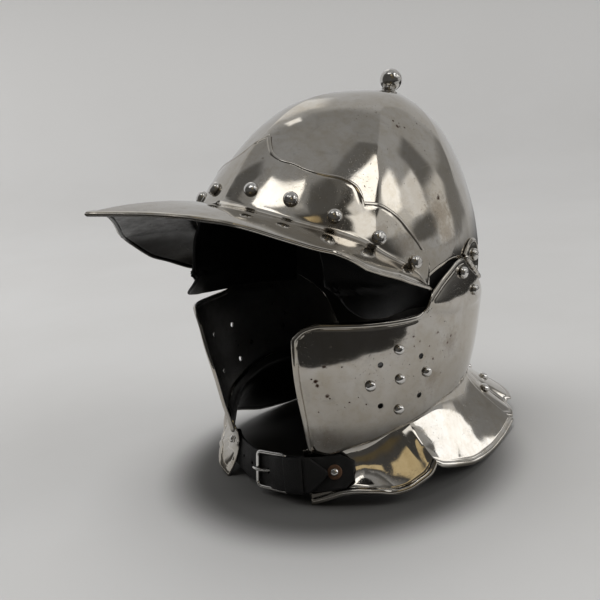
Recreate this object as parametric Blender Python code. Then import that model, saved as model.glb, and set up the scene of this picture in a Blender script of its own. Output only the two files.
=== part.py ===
"""Close helmet with a pointed peak, hinged cheek pieces and a leather chin strap.

The sizes below are millimetres in the worn frame: x across to the wearer's left,
y from front to back, z up, with z = 0 a little above the brow. Every piece is then
tipped back and lifted so that the helmet stands on its own collar rim.
"""

import bpy
import bmesh
import math
import numpy as np

# Remove what the scene holds
for old in list(bpy.data.objects):
    bpy.data.objects.remove(old, do_unlink=True)

MM = 0.001

# Overall sizes
HALF_WIDTH = 102.5
FRONT_REACH = 134.0
REAR_REACH = 129.5
APEX_Y = 62.0
APEX_Z = 73.5
FULL_DROP = 134.0
BASE_DROP = 215.0

# Plate and leather thicknesses, and the clearances between pieces
STEEL = 1.5
LEATHER = 2.2
GAP = 0.35
LAP = 0.5
LINING_CLEAR = 1.25
PEAK_CLEAR = 0.65
BEAD = 0.9
BEAD_WIDTH = 2.6
FLOOR_FLAT = 0.45

# Skull panels: azimuths of the raised ridges, and how flat the panels are
RIDGES = (0.0, 62.0, 103.0, 142.0, 180.0)
FLAT_TOP = 0.42
FLAT_FRONT = 0.26
FLAT_BACK = 0.07
FADE_DROP = 95.0

# Brow rivets, cheek rivets, hearing holes, guard rivets and strap rivets
BROW_R = 5.1
CHEEK_R = 3.8
GUARD_R = 4.2
EAR_R = 4.4
SCREW_R = 4.6
STRAP_R = 2.9
HOLE_R = 2.1

# Hinge
HINGE_AZ = 109.5
HINGE_Z = -61.0
HINGE_SLOPE = -1.08
HINGE_HALF = 17.0
BARREL_R = 2.0
BARREL_OUT = 3.4

# Finial
BALL_R = 9.0
FINIAL_LEAN = math.radians(20.0)

# Strap
STRAP_WIDTH = 24.5
BUCKLE_WIRE_R = 1.35


def table(columns, *rows):
    """Name the columns of a short table."""
    names = columns.split()
    return {name: [float(row[k]) for row in rows] for k, name in enumerate(names)}


def smooth(xs, ys):
    """Smooth curve through points that keeps to their rise and fall."""
    n = len(xs)
    slope = [(ys[k + 1] - ys[k]) / (xs[k + 1] - xs[k]) for k in range(n - 1)]
    tangent = [slope[0]]
    for k in range(1, n - 1):
        a, b = slope[k - 1], slope[k]
        tangent.append(0.0 if a * b <= 0 else 2 * a * b / (a + b))
    tangent.append(slope[-1])

    def curve(x):
        x = min(max(x, xs[0]), xs[-1])
        k = 0
        while k < n - 2 and x > xs[k + 1]:
            k += 1
        h = xs[k + 1] - xs[k]
        t = (x - xs[k]) / h
        a = (1 + 2 * t) * (1 - t) ** 2 * ys[k] + t * (1 - t) ** 2 * h * tangent[k]
        b = t * t * (3 - 2 * t) * ys[k + 1] + t * t * (t - 1) * h * tangent[k + 1]
        return a + b

    return curve


def cusped(rows, key, value, corners=()):
    """Smooth curve through a table's columns, with a sharp turn at each corner."""
    xs, ys = rows[key], rows[value]
    cuts = [0] + [k for k in range(1, len(xs) - 1) if xs[k] in corners] + [len(xs) - 1]
    parts = []
    for a, b in zip(cuts[:-1], cuts[1:]):
        parts.append((xs[b], smooth(xs[a:b + 1], ys[a:b + 1])))

    def curve(x):
        for end, part in parts:
            if x <= end:
                return part(x)
        return parts[-1][1](x)

    return curve


# Share of the apex-to-brim reach gained at each share of the drop from the apex, before and behind
PROFILE = table(
    "drop fore aft",
    (0.0, 0.0, 0.0), (0.018, 0.25, 0.068), (0.0485, 0.385, 0.20), (0.11, 0.52, 0.384),
    (0.206, 0.635, 0.563), (0.325, 0.735, 0.698), (0.449, 0.815, 0.806), (0.5925, 0.89, 0.89),
    (0.741, 0.955, 0.955), (0.888, 0.993, 0.993), (1.0, 1.0, 1.0),
)
# Azimuths between which the fore profile turns into the aft one
PROFILE_TURN = (68.0, 122.0)
# Shares of HALF_WIDTH, FRONT_REACH and REAR_REACH at each share of BASE_DROP
BODY = table(
    "drop side front rear",
    (0.0, 1.0, 1.0, 1.0), (0.209, 1.0, 1.0, 1.0), (0.367, 1.007, 0.90, 1.004),
    (0.46, 0.993, 0.849, 0.991), (0.563, 0.972, 0.799, 0.969), (0.66, 0.934, 0.746, 0.931),
    (0.767, 0.883, 0.690, 0.876), (0.884, 0.829, 0.627, 0.811), (1.0, 0.80, 0.597, 0.772),
)

body_side = smooth(BODY["drop"], BODY["side"])
body_front = smooth(BODY["drop"], BODY["front"])
body_rear = smooth(BODY["drop"], BODY["rear"])
fore_root = smooth([math.sqrt(v) for v in PROFILE["drop"]], PROFILE["fore"])
aft_root = smooth([math.sqrt(v) for v in PROFILE["drop"]], PROFILE["aft"])


def envelope(z):
    """Half width, front reach and rear reach of the cheek surface at a height."""
    share = min(max(-z / BASE_DROP, 0.0), 1.0)
    return (
        HALF_WIDTH * body_side(share),
        FRONT_REACH * body_front(share),
        REAR_REACH * body_rear(share),
    )


def flatness(azimuth, drop):
    """How far the panels are from round: all at the apex, little at the rim."""
    low = FLAT_FRONT if abs(azimuth) < RIDGES[1] else FLAT_BACK
    share = min(drop / FADE_DROP, 1.0)
    return FLAT_TOP + (low - FLAT_TOP) * share


def panel(azimuth, drop):
    """Radius factor of the panelled skull between two neighbouring ridges."""
    a = abs((azimuth + 180.0) % 360.0 - 180.0)
    for left, right in zip(RIDGES[:-1], RIDGES[1:]):
        if a <= right:
            break
    half = math.radians((right - left) / 2)
    off = math.radians(a - (left + right) / 2)
    flat = 1.0 - math.cos(half) / math.cos(off)
    return 1.0 - flatness(a, drop) * flat


def skull_reach(z):
    """Half width, front and rear reach of the skull, inside the cheek surface."""
    side, front, rear = envelope(z)
    low = min(max((-z - 45.0) / 75.0, 0.0), 1.0)
    inset = 2.6 + 3.9 * low
    if z > -70.0:
        front = FRONT_REACH
    return side - inset, front, rear - inset


def skull(azimuth, z):
    """Point of the skull's outer surface."""
    drop = APEX_Z - z
    root = math.sqrt(min(max(drop / FULL_DROP, 0.0), 1.0))
    phi = math.radians(azimuth)
    around = math.degrees(math.acos(math.cos(phi)))
    turn = min(max((around - PROFILE_TURN[0]) / (PROFILE_TURN[1] - PROFILE_TURN[0]), 0.0), 1.0)
    turn = turn * turn * (3 - 2 * turn)
    g = fore_root(root) + (aft_root(root) - fore_root(root)) * turn
    side, front, rear = skull_reach(z)
    reach = front if math.cos(phi) > 0 else rear
    f = panel(azimuth, drop)
    x = side * f * math.sin(phi)
    y = -reach * f * math.cos(phi)
    return np.array([g * x, APEX_Y + g * (y - APEX_Y), z])


def cheek(azimuth, z):
    """Point of the cheek pieces' outer surface."""
    side, front, rear = envelope(z)
    phi = math.radians(azimuth)
    reach = front if math.cos(phi) > 0 else rear
    return np.array([side * math.sin(phi), -reach * math.cos(phi), z])


def normal(surface, azimuth, z):
    """Outward normal of a surface given by azimuth and height."""
    u = surface(azimuth + 0.8, z) - surface(azimuth - 0.8, z)
    v = surface(azimuth, z + 0.4) - surface(azimuth, z - 0.4)
    n = np.cross(u, v)
    return n / np.linalg.norm(n)


def lifted(surface, azimuth, z, distance):
    return surface(azimuth, z) + normal(surface, azimuth, z) * distance


# Height of the fold between the peak and its riveted flange
FOLD = table(
    "az z",
    (0, -14), (16, -18.5), (31.5, -24.3), (46.2, -30.7), (57.8, -38.1), (63.3, -44.0),
    (77.2, -59.6), (82.0, -70.6),
)
# Height of the flange's upper edge, whose middle cusp stands on the keel
FLANGE = table(
    "az z",
    (0, 33), (5, 26.5), (11, 19.5), (18, 15.5), (25.5, 13.2), (32.5, 9.2), (39.6, 6.2),
    (46.8, 3.9), (52.9, -0.7), (55.8, -6.5), (57.0, -12.6), (61, -13.1), (68.7, -20.5),
    (75.2, -34), (80.5, -48), (82.6, -57),
)
FLANGE_CORNERS = (57.0,)
CUSP_SHIFT = 4.5
# Outline of the peak, read from the tip to its end at the temple
BRIM = table(
    "az x y z far_drop",
    (0, 0, -224, -19.4, 0), (3, 6, -220, -19.4, 0), (7, 13.5, -213, -19.4, 0), (11, 22, -203.7, -19.5, 0),
    (15, 31, -193.9, -20.1, 0), (20, 41.5, -183.8, -21.2, 0), (24, 49.5, -175.4, -22.9, 0),
    (28, 57, -168.8, -24.3, 0), (32, 67, -159.7, -27.3, 0), (38, 82, -145.8, -33.5, 0),
    (43, 91, -138.2, -36.9, 0), (47.5, 98.5, -131.2, -39.7, 0), (52, 105.5, -124.6, -41.8, 0),
    (56, 110, -116.1, -45.7, 0.3), (61, 112.3, -102.6, -52.7, 0.8), (66, 114, -90.4, -56.3, 2.8),
    (71, 114, -75.1, -59.8, 3.4), (76, 110.5, -55.4, -64.9, 4.5), (80, 105.5, -35.4, -69.4, 3.0),
    (82, 101.3, -19.8, -72.8, 2.0),
)
BRIM_CORNERS = (52.0, 61.0)
# Lower edge of the skull plate
SKULL_RIM = table(
    "az z",
    (0, -12.5), (31.5, -22.8), (46.2, -29.2), (57.8, -36.6), (63.3, -42.5), (77.2, -58),
    (80.5, -67), (84, -61.5), (89, -56.5), (96.8, -52.5), (101, -54), (103.5, -66), (110, -75), (119, -86),
    (126, -98), (134, -126), (145, -140), (180, -146),
)
# Cheek piece: height of its upper edge at each share along the piece
CHEEK_TOP = table(
    "u z",
    (0.0, -104), (0.012, -99.5), (0.035, -95.5), (0.06, -93.0), (0.10, -91.3), (0.25, -91.0),
    (0.36, -89.8), (0.425, -88.2), (0.445, -86.5), (0.46, -82), (0.475, -76), (0.50, -71.5),
    (0.53, -66.3), (0.575, -60), (0.62, -54.5), (0.655, -53.2), (0.70, -60.2),
    (0.80, -70.5), (0.90, -82), (1.0, -96),
)
CHEEK_FRONT = table(
    "z az",
    (0, 27.4), (18, 27.2), (53, 25.9), (86, 27.2), (92, 29.2), (104, 33.0),
)
CHEEK_FRONT_AZ = 26.5
CHEEK_REAR_AZ = 134.0
# Collar rim in the ellipse angle of its plan, from the front corner to the nape
RIM = table(
    "th x y z",
    (25, 44.4, -76.5, -223.5), (31, 57, -74, -217.5), (36, 67, -69, -212.5), (44, 79.3, -62, -209.9),
    (50, 88, -55, -209.5), (57, 95, -47, -210.7), (63, 101.5, -39, -208.6), (69, 106, -31, -204),
    (74, 109.4, -23.5, -198.5), (77.5, 110, -19.5, -192.0), (81, 112.2, -14, -195), (92, 114, 5, -198.8),
    (100, 113.2, 28, -202.2), (110, 110, 54, -201), (120, 105, 80, -196.4), (128, 98, 109, -187.6),
    (133, 92, 118, -182.5), (137, 82, 126, -179), (140, 82.5, 131, -177.8), (146, 77, 139.5, -175),
    (155, 63, 148, -171.0), (167, 36, 153, -165.5), (180, 0, 156, -163.0),
)
RIM_CORNERS = (77.5, 128.0, 137.0)
COLLAR_END = 127.0
COLLAR_STOPS = (25.0, 28.0, 36.0, 50.0, 57.0, 69.0, 74.0, 77.5, 81.0, 92.0, 110.0, 120.0, COLLAR_END)
GUARD_START = 121.0
GUARD_SINK = STEEL + LAP + 0.6
RIVET_CLEAR = 0.9
# Lower edge of the cheek pieces, which the collar and the rear guard hang from
NECK = table(
    "th z",
    (25, -188), (29.5, -187), (36, -188.5), (46, -183), (58, -178), (66, -173), (72.5, -169.7),
    (85.4, -162.5), (97.6, -155), (112, -151), (118, -149.5), (128, -145), (140, -140), (180, -135),
)
TUCK = 6.0
TUCK_SHARE = 0.15
FLARE_KNEE = 0.42
# Lower edge of the leather lining
LINING_LOW = table(
    "az z",
    (0, -8), (30, -16), (40, -25), (44, -45), (46.5, -66), (50, -79), (56, -84), (64, -85.5),
    (80, -84), (90, -83.5), (100, -84), (112, -84),
)
# Outward curl of the lining's ear tabs at their lower edge, and the height at which it starts
TAB_CURL = table("az out", (0, 0), (38, 0), (44, 8), (48, 15), (53, 16.5), (59, 12), (67, 4.5), (76, 0), (112, 0))
TAB_TOP = -62.0
TAB_DROP = 21.0

fold_z = cusped(FOLD, "az", "z")
flange_z = cusped(FLANGE, "az", "z", FLANGE_CORNERS)
brim_x = cusped(BRIM, "az", "x", BRIM_CORNERS)
brim_y = cusped(BRIM, "az", "y", BRIM_CORNERS)
brim_z = cusped(BRIM, "az", "z", BRIM_CORNERS)
brim_drop = cusped(BRIM, "az", "far_drop", BRIM_CORNERS)
skull_rim_z = cusped(SKULL_RIM, "az", "z", (80.5, 101.0))
cheek_top_z = cusped(CHEEK_TOP, "u", "z")
cheek_front_az = cusped(CHEEK_FRONT, "z", "az")
rim_x = cusped(RIM, "th", "x", RIM_CORNERS)
rim_y = cusped(RIM, "th", "y", RIM_CORNERS)
rim_z = cusped(RIM, "th", "z", RIM_CORNERS)
neck_z = cusped(NECK, "th", "z")
lining_z = cusped(LINING_LOW, "az", "z")
tab_curl = cusped(TAB_CURL, "az", "out")


def fitted(x, y, z):
    """A point of the rim or strap table, moved with the overall sizes.

    Both tables hold millimetres of a helmet with 102.5 half width, 134.0 front reach and 129.5 rear reach.
    """
    wide = HALF_WIDTH / 102.5
    long = FRONT_REACH / 134.0 if y < 0 else REAR_REACH / 129.5
    return np.array([x * wide, y * long, z])


def rim(theta):
    """Point of the collar's rim, either side of the keel plane."""
    t = abs(theta)
    side = 1.0 if theta >= 0 else -1.0
    return fitted(side * rim_x(t), rim_y(t), rim_z(t))


def skirt(theta, v):
    """Flared collar surface: tucked up inside the cheek piece at v = 0, at the rim at v = 1."""
    low = neck_z(abs(theta))
    top = lifted(cheek, theta, low + TUCK, -(STEEL + LAP))
    turn = lifted(cheek, theta, low, -(STEEL + LAP))
    if v < TUCK_SHARE:
        return top + (turn - top) * (v / TUCK_SHARE)
    edge = rim(theta)
    down = (turn - top) / np.linalg.norm(turn - top)
    knee = turn + down * FLARE_KNEE * np.linalg.norm(edge - turn)
    t = (v - TUCK_SHARE) / (1 - TUCK_SHARE)
    return (1 - t) ** 2 * turn + 2 * t * (1 - t) * knee + t * t * edge


def skirt_grid(thetas, side, start, end, sink, bead):
    """Outer and inner points of a flared plate cut from the skirt surface."""
    base = []
    for th in thetas:
        length = np.linalg.norm(skirt(th, 1.0) - skirt(th, 0.0))
        vs = [start + (end - start) * k for k in (0.0, TUCK_SHARE, 0.36, 0.58, 0.80)]
        vs += [end - (BEAD_WIDTH + 1.0) / length, end - BEAD_WIDTH / length, end]
        base.append([skirt(th, v) for v in vs])
    base = np.array(base)
    n = grid_normals(base, lambda p: np.array([p[0], p[1], 40.0]))
    bump = np.zeros((1, len(base[0]), 1))
    bump[0, -2:, 0] = bead
    outer = base + n * (bump * 0.5 - sink)
    inner = base - n * (STEEL + sink + bump * 0.5)
    outer[:, :, 0] *= side
    inner[:, :, 0] *= side
    return outer, inner


def grid_normals(grid, outward):
    """Normals of a grid of points, turned to the side that outward(point) gives."""
    g = np.asarray(grid, float)
    u = np.gradient(g, axis=0)
    v = np.gradient(g, axis=1)
    n = np.cross(u, v)
    size = np.linalg.norm(n, axis=2, keepdims=True)
    n = n / np.maximum(size, 1e-9)
    for i in range(g.shape[0]):
        for j in range(g.shape[1]):
            if np.dot(n[i, j], outward(g[i, j])) < 0:
                n[i, j] = -n[i, j]
    return n


def spread(stops, most):
    """Angles from the first stop to the last through all of them, no step above the limit."""
    angles = [stops[0]]
    for a, b in zip(stops[:-1], stops[1:]):
        n = max(1, math.ceil((b - a) / most))
        angles += [a + (b - a) * k / n for k in range(1, n + 1)]
    return angles


def turn_back(tilt):
    """Turn about the x axis that lifts the front."""
    c, s = math.cos(tilt), math.sin(tilt)
    return np.array([[1.0, 0.0, 0.0], [0.0, c, s], [0.0, -s, c]])


def settle():
    """Tilt and height at which the collar's front corners and side lobes share the floor."""
    outer, inner = skirt_grid(spread(COLLAR_STOPS, 7.5), 1.0, 0.0, 1.0, 0.0, BEAD)
    cloud = np.concatenate([outer.reshape(-1, 3), inner.reshape(-1, 3)])
    front, back = cloud[cloud[:, 1] < -40.0], cloud[cloud[:, 1] > 20.0]
    tilt = math.radians(9.6)
    for _ in range(12):
        a, b = front @ turn_back(tilt).T, back @ turn_back(tilt).T
        low_a, low_b = a[a[:, 2].argmin()], b[b[:, 2].argmin()]
        tilt += math.atan2(low_b[2] - low_a[2], low_b[1] - low_a[1]) * 0.9
    return tilt, -min(low_a[2], low_b[2])


REST_TILT, REST_LIFT = settle()
REST_TURN = turn_back(REST_TILT)
# Middle of the part's footprint, brought over the origin
REST_SHIFT = 48.9


def rest(points):
    """Turn points of the worn frame into the resting frame, in metres."""
    p = np.asarray(points, float) @ REST_TURN.T
    p = p + np.array([0.0, REST_SHIFT, REST_LIFT])
    return p * MM


def material(name, colour, roughness, metallic):
    made = bpy.data.materials.get(name)
    if made:
        return made
    made = bpy.data.materials.new(name)
    made.use_nodes = True
    shader = made.node_tree.nodes["Principled BSDF"]
    shader.inputs["Base Color"].default_value = (*colour, 1.0)
    shader.inputs["Roughness"].default_value = roughness
    shader.inputs["Metallic"].default_value = metallic
    return made


STEEL_MAT = material("polished_steel", (0.62, 0.61, 0.58), 0.16, 1.0)
RIVET_MAT = material("bright_steel", (0.70, 0.70, 0.69), 0.09, 1.0)
LEATHER_MAT = material("black_leather", (0.018, 0.017, 0.017), 0.48, 0.0)
NICKEL_MAT = material("nickel_wire", (0.76, 0.75, 0.72), 0.10, 1.0)
BROWN_MAT = material("brown_leather", (0.13, 0.07, 0.04), 0.62, 0.0)


def solid(name, points, faces, look, angle=40.0, floor_snap=False):
    """One closed body from points of the worn frame. The walls that a cutter leaves are shaded flat."""
    placed = rest(points)
    if floor_snap:
        placed[placed[:, 2] < FLOOR_FLAT * MM, 2] = 0.0
    mesh = bpy.data.meshes.new(name)
    mesh.from_pydata([tuple(p) for p in placed], [], faces)
    build = bmesh.new()
    build.from_mesh(mesh)
    bmesh.ops.remove_doubles(build, verts=build.verts, dist=0.00002)
    bmesh.ops.recalc_face_normals(build, faces=build.faces)
    build.to_mesh(mesh)
    build.free()
    mesh.materials.append(look)
    mesh.shade_smooth()
    mesh.set_sharp_from_angle(angle=math.radians(angle))
    made = bpy.data.objects.new(name, mesh)
    bpy.context.scene.collection.objects.link(made)
    return made


def cut_away(body, cutter, word):
    """Take a cutter's shape out of a body."""
    cutter.data.shade_flat()
    cutter.hide_render = True
    cutter.display_type = "WIRE"
    cut = body.modifiers.new(word, "BOOLEAN")
    cut.object = cutter
    cut.operation = "DIFFERENCE"
    cut.solver = "EXACT"


def shell(name, outer, inner, look, closed=False, pole=False, angle=40.0, floor_snap=False):
    """Plate between two grids of points. The pole is a grid's first row drawn to one point."""
    outer, inner = np.asarray(outer, float), np.asarray(inner, float)
    nu, nv = outer.shape[0], outer.shape[1]
    points = np.concatenate([outer.reshape(-1, 3), inner.reshape(-1, 3)])
    back = nu * nv
    faces = []
    last = nu if closed else nu - 1
    for i in range(last):
        n = (i + 1) % nu
        for j in range(nv - 1):
            a, b, c, d = i * nv + j, n * nv + j, n * nv + j + 1, i * nv + j + 1
            if pole and j == 0:
                faces.append((a, c, d))
                faces.append((back + a, back + d, back + c))
            else:
                faces.append((a, b, c, d))
                faces.append((back + a, back + d, back + c, back + b))
        j = nv - 1
        a, b = i * nv + j, n * nv + j
        faces.append((a, b, back + b, back + a))
        if not pole:
            a, b = i * nv, n * nv
            faces.append((a, back + a, back + b, b))
    if not closed:
        for j in range(nv - 1):
            a, b = j, j + 1
            faces.append((a, b, back + b, back + a))
            a, b = (nu - 1) * nv + j, (nu - 1) * nv + j + 1
            faces.append((a, back + a, back + b, b))
    return solid(name, points, faces, look, angle, floor_snap)


def frame_of(direction):
    """Two axes square to a direction."""
    w = direction / np.linalg.norm(direction)
    side = np.array([0.0, 0.0, 1.0]) if abs(w[2]) < 0.9 else np.array([1.0, 0.0, 0.0])
    u = np.cross(side, w)
    u = u / np.linalg.norm(u)
    return u, np.cross(w, u), w


def turned(name, foot, direction, profile, look, sides=12, angle=50.0):
    """Round body about an axis. The profile lists radius and height; it starts and ends on the axis."""
    u, v, w = frame_of(np.asarray(direction, float))
    points = [foot + w * profile[0][1]]
    for r, h in profile[1:-1]:
        for k in range(sides):
            a = 2 * math.pi * k / sides
            points.append(foot + w * h + (u * math.cos(a) + v * math.sin(a)) * r)
    points.append(foot + w * profile[-1][1])
    faces = []
    rings = len(profile) - 2
    for k in range(sides):
        n = (k + 1) % sides
        faces.append((0, 1 + n, 1 + k))
        for j in range(rings - 1):
            a = 1 + j * sides
            faces.append((a + k, a + n, a + sides + n, a + sides + k))
        a = 1 + (rings - 1) * sides
        faces.append((a + k, a + n, len(points) - 1))
    return solid(name, np.array(points), faces, look, angle)


def dome(name, foot, direction, radius, look, height=0.72, sides=10):
    """Round rivet head standing on a plate, with a short straight foot."""
    rise = radius * height
    profile = [(0.0, 0.0), (radius * 0.93, 0.0), (radius, rise * 0.22)]
    for k in (0.42, 0.72):
        profile.append((radius * math.cos(k * math.pi / 2) ** 0.8, rise * (0.22 + 0.78 * math.sin(k * math.pi / 2))))
    profile.append((0.0, rise))
    return turned(name, foot, direction, profile, look, sides)


def ribbon(name, path, ups, width, thickness, look, closed=False):
    """Flat band along a path. Each up is the direction of the band's width there."""
    path, ups = np.asarray(path, float), np.asarray(ups, float)
    n = len(path)
    points, faces = [], []
    for k in range(n):
        if closed:
            ahead = path[(k + 1) % n] - path[k - 1]
        else:
            ahead = path[min(k + 1, n - 1)] - path[max(k - 1, 0)]
        up = ups[k] / np.linalg.norm(ups[k])
        out = np.cross(ahead, up)
        out = out / np.linalg.norm(out)
        wide = width[k] if isinstance(width, (list, tuple)) else width
        for s, t in ((-1, -1), (1, -1), (1, 1), (-1, 1)):
            points.append(path[k] + up * s * wide / 2 + out * t * thickness / 2)
    last = n if closed else n - 1
    for k in range(last):
        a, b = 4 * k, 4 * ((k + 1) % n)
        for s in range(4):
            e = (s + 1) % 4
            faces.append((a + s, a + e, b + e, b + s))
    if not closed:
        faces.append((0, 3, 2, 1))
        a = 4 * (n - 1)
        faces.append((a, a + 1, a + 2, a + 3))
    return solid(name, np.array(points), faces, look, 35.0)


def rod(name, path, radius, look, closed=False, sides=8):
    """Round wire along a path."""
    path = np.asarray(path, float)
    n = len(path)
    points, faces = [], []
    hint = None
    for k in range(n):
        if closed:
            ahead = path[(k + 1) % n] - path[k - 1]
        else:
            ahead = path[min(k + 1, n - 1)] - path[max(k - 1, 0)]
        w = ahead / np.linalg.norm(ahead)
        if hint is None:
            hint = frame_of(w)[0]
        u = hint - w * np.dot(hint, w)
        u = u / np.linalg.norm(u)
        hint = u
        v = np.cross(w, u)
        for s in range(sides):
            a = 2 * math.pi * s / sides
            points.append(path[k] + (u * math.cos(a) + v * math.sin(a)) * radius)
    last = n if closed else n - 1
    for k in range(last):
        a, b = sides * k, sides * ((k + 1) % n)
        for s in range(sides):
            e = (s + 1) % sides
            faces.append((a + s, a + e, b + e, b + s))
    if not closed:
        faces.append(tuple(reversed(range(sides))))
        a = sides * (n - 1)
        faces.append(tuple(a + s for s in range(sides)))
    return solid(name, np.array(points), faces, look, 50.0)


def flange_edge(azimuth):
    """Upper edge of the flange: its middle cusp stands a little to the wearer's left."""
    reach = 25.5
    if azimuth > reach or azimuth < -reach:
        return flange_z(abs(azimuth))
    if azimuth >= CUSP_SHIFT:
        return flange_z((azimuth - CUSP_SHIFT) * reach / (reach - CUSP_SHIFT))
    return flange_z((CUSP_SHIFT - azimuth) * reach / (reach + CUSP_SHIFT))


def brim_point(azimuth, v):
    """Point of the peak's underside: v = 0 at the fold, v = 1 at the rim, which hangs lower at the far side."""
    a = abs(azimuth)
    side = 1.0 if azimuth >= 0 else -1.0
    root = lifted(skull, azimuth, fold_z(a) - STEEL, PEAK_CLEAR)
    edge = np.array([side * brim_x(a), brim_y(a), brim_z(a) + BEAD])
    if azimuth < 0:
        edge[2] -= brim_drop(a)
    rise = (4.6 - 3.4 * min(a / 50.0, 1.0)) * 4 * v * (1 - v)
    p = root + (edge - root) * v
    p[2] += rise
    return p


# Skull
def make_skull():
    half = spread((0.0, 31.0, 62.0, 80.5, 91.0, 101.0, 103.5, 119.0, 126.0, 134.0, 142.0, 161.0, 180.0), 10.5)
    azimuths = half[:-1] + [180.0] + [-a for a in reversed(half[1:-1])]
    outer, inner = [], []
    for az in azimuths:
        low = skull_rim_z(abs(az))
        col_out, col_in = [], []
        for share in (0.0, 0.10, 0.20, 0.31, 0.42, 0.53, 0.64, 0.75, 0.84, 0.93, 1.0):
            if share == 0.0:
                col_out.append(np.array([0.0, APEX_Y, APEX_Z]))
                col_in.append(np.array([0.0, APEX_Y, APEX_Z - STEEL]))
                continue
            z = APEX_Z - (APEX_Z - low) * share ** 1.7
            col_out.append(skull(az, z))
            col_in.append(lifted(skull, az, z, -STEEL))
        outer.append(col_out)
        inner.append(col_in)
    return shell("skull", outer, inner, STEEL_MAT, closed=True, pole=True, angle=32.0)


# Peak with its riveted flange
def make_peak():
    half = spread((0.0, 5.0, 11.0, 20.0, 28.0, 35.0, 43.0, 52.0, 56.0, 61.0, 66.0, 71.0, 76.0, 79.5, 82.0), 7.0)
    azimuths = [-a for a in reversed(half[1:])] + half
    upper, lower = [], []
    for az in azimuths:
        a = abs(az)
        col_up, col_low = [], []
        top, low = flange_edge(az), fold_z(a)
        for share in (0.0, 0.33, 0.66, 0.97):
            z = top + (low - top) * share
            col_low.append(lifted(skull, az, z, PEAK_CLEAR))
            col_up.append(lifted(skull, az, z, PEAK_CLEAR + STEEL))
        root = brim_point(az, 0.0)
        length = np.linalg.norm(brim_point(az, 1.0) - root)
        for share in (0.04, 0.35, 0.65):
            col_low.append(brim_point(az, share))
            col_up.append(brim_point(az, share) + np.array([0.0, 0.0, STEEL]))
        for back, thick in ((BEAD_WIDTH + 1.0, 0.0), (BEAD_WIDTH, BEAD), (0.0, BEAD)):
            share = 1.0 - back / max(length, 8.0)
            p = brim_point(az, share)
            col_low.append(p - np.array([0.0, 0.0, thick]))
            col_up.append(p + np.array([0.0, 0.0, STEEL + thick * 0.4]))
        upper.append(col_up)
        lower.append(col_low)
    return shell("peak", upper, lower, STEEL_MAT, angle=38.0)


def cheek_grid(side):
    """Outer and inner points of a cheek piece, with a rolled bead on its front and top edges."""
    us = [0.0, 0.012, 0.035, 0.06, 0.10, 0.17, 0.25, 0.33, 0.39, 0.425, 0.445, 0.46, 0.48]
    us += [0.52, 0.575, 0.62, 0.66, 0.73, 0.82, 0.91, 1.0]
    outer, inner = [], []
    for u in us:
        top, low = cheek_top_z(u), neck_z(CHEEK_FRONT_AZ + (CHEEK_REAR_AZ - CHEEK_FRONT_AZ) * u)
        span = top - low
        vs = [0.0, 0.2, 0.4, 0.6, 0.78]
        vs += [1 - 6.5 / span, 1 - (BEAD_WIDTH + 1) / span, 1 - BEAD_WIDTH / span, 1.0]
        col_out, col_in = [], []
        for v in vs:
            z = low + span * v
            front = cheek_front_az(min(max(z + 190.0, 0.0), 104.0))
            az = front + (CHEEK_REAR_AZ - front) * u
            bead = 0.0
            if u < 0.015 or (v >= vs[-2] and u < 0.62):
                bead = BEAD
            n = normal(cheek, az, z)
            p = cheek(az, z)
            col_out.append(p + n * bead * 0.6)
            col_in.append(p - n * (STEEL + bead * 0.4))
        outer.append(col_out)
        inner.append(col_in)
    outer, inner = np.array(outer), np.array(inner)
    outer[:, :, 0] *= side
    inner[:, :, 0] *= side
    return outer, inner


def cheek_place(azimuth, z, side, distance):
    """Foot and direction of a rivet that stands on a cheek piece."""
    n = normal(cheek, azimuth, z)
    p = cheek(azimuth, z) + n * distance
    return p * np.array([side, 1, 1]), n * np.array([side, 1, 1])


HEARING_HOLES = table("az z", (59.8, -121.0), (77.5, -117.7), (60.7, -151.4), (79.3, -147.0))
CROSS_RIVETS = table("az z", (67.3, -111.1), (55.9, -135.9), (68.4, -132.6), (81.3, -130.0), (69.5, -155.6))


def make_cheek(name, side):
    outer, inner = cheek_grid(side)
    made = shell(name, outer, inner, STEEL_MAT, angle=38.0)
    for k, (az, z) in enumerate(zip(HEARING_HOLES["az"], HEARING_HOLES["z"])):
        foot, n = cheek_place(az, z, side, -6.0)
        pin = turned(f"cutter_{name}_{k + 1}", foot, n, [(0, 0), (HOLE_R, 0), (HOLE_R, 12), (0, 12)], STEEL_MAT, 10)
        cut_away(made, pin, f"hearing_hole_{k + 1}")
    for k, (az, z) in enumerate(zip(CROSS_RIVETS["az"], CROSS_RIVETS["z"])):
        foot, n = cheek_place(az, z, side, GAP)
        dome(f"{name}_rivet_{k + 1}", foot, n, CHEEK_R, RIVET_MAT, sides=8)


def make_collar(name, side):
    thetas = spread(COLLAR_STOPS, 7.5)
    outer, inner = skirt_grid(thetas, side, 0.0, 1.0, 0.0, BEAD)
    return shell(name, outer, inner, STEEL_MAT, angle=38.0, floor_snap=True)


# Rivets of the rear guard: ellipse angle and share of the way down the flare
GUARD_RIVETS = (
    (134.0, 0.72), (149.0, 0.76), (166.0, 0.84), (180.0, 0.84), (-166.0, 0.84), (-149.0, 0.76), (-134.0, 0.72),
)


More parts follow.
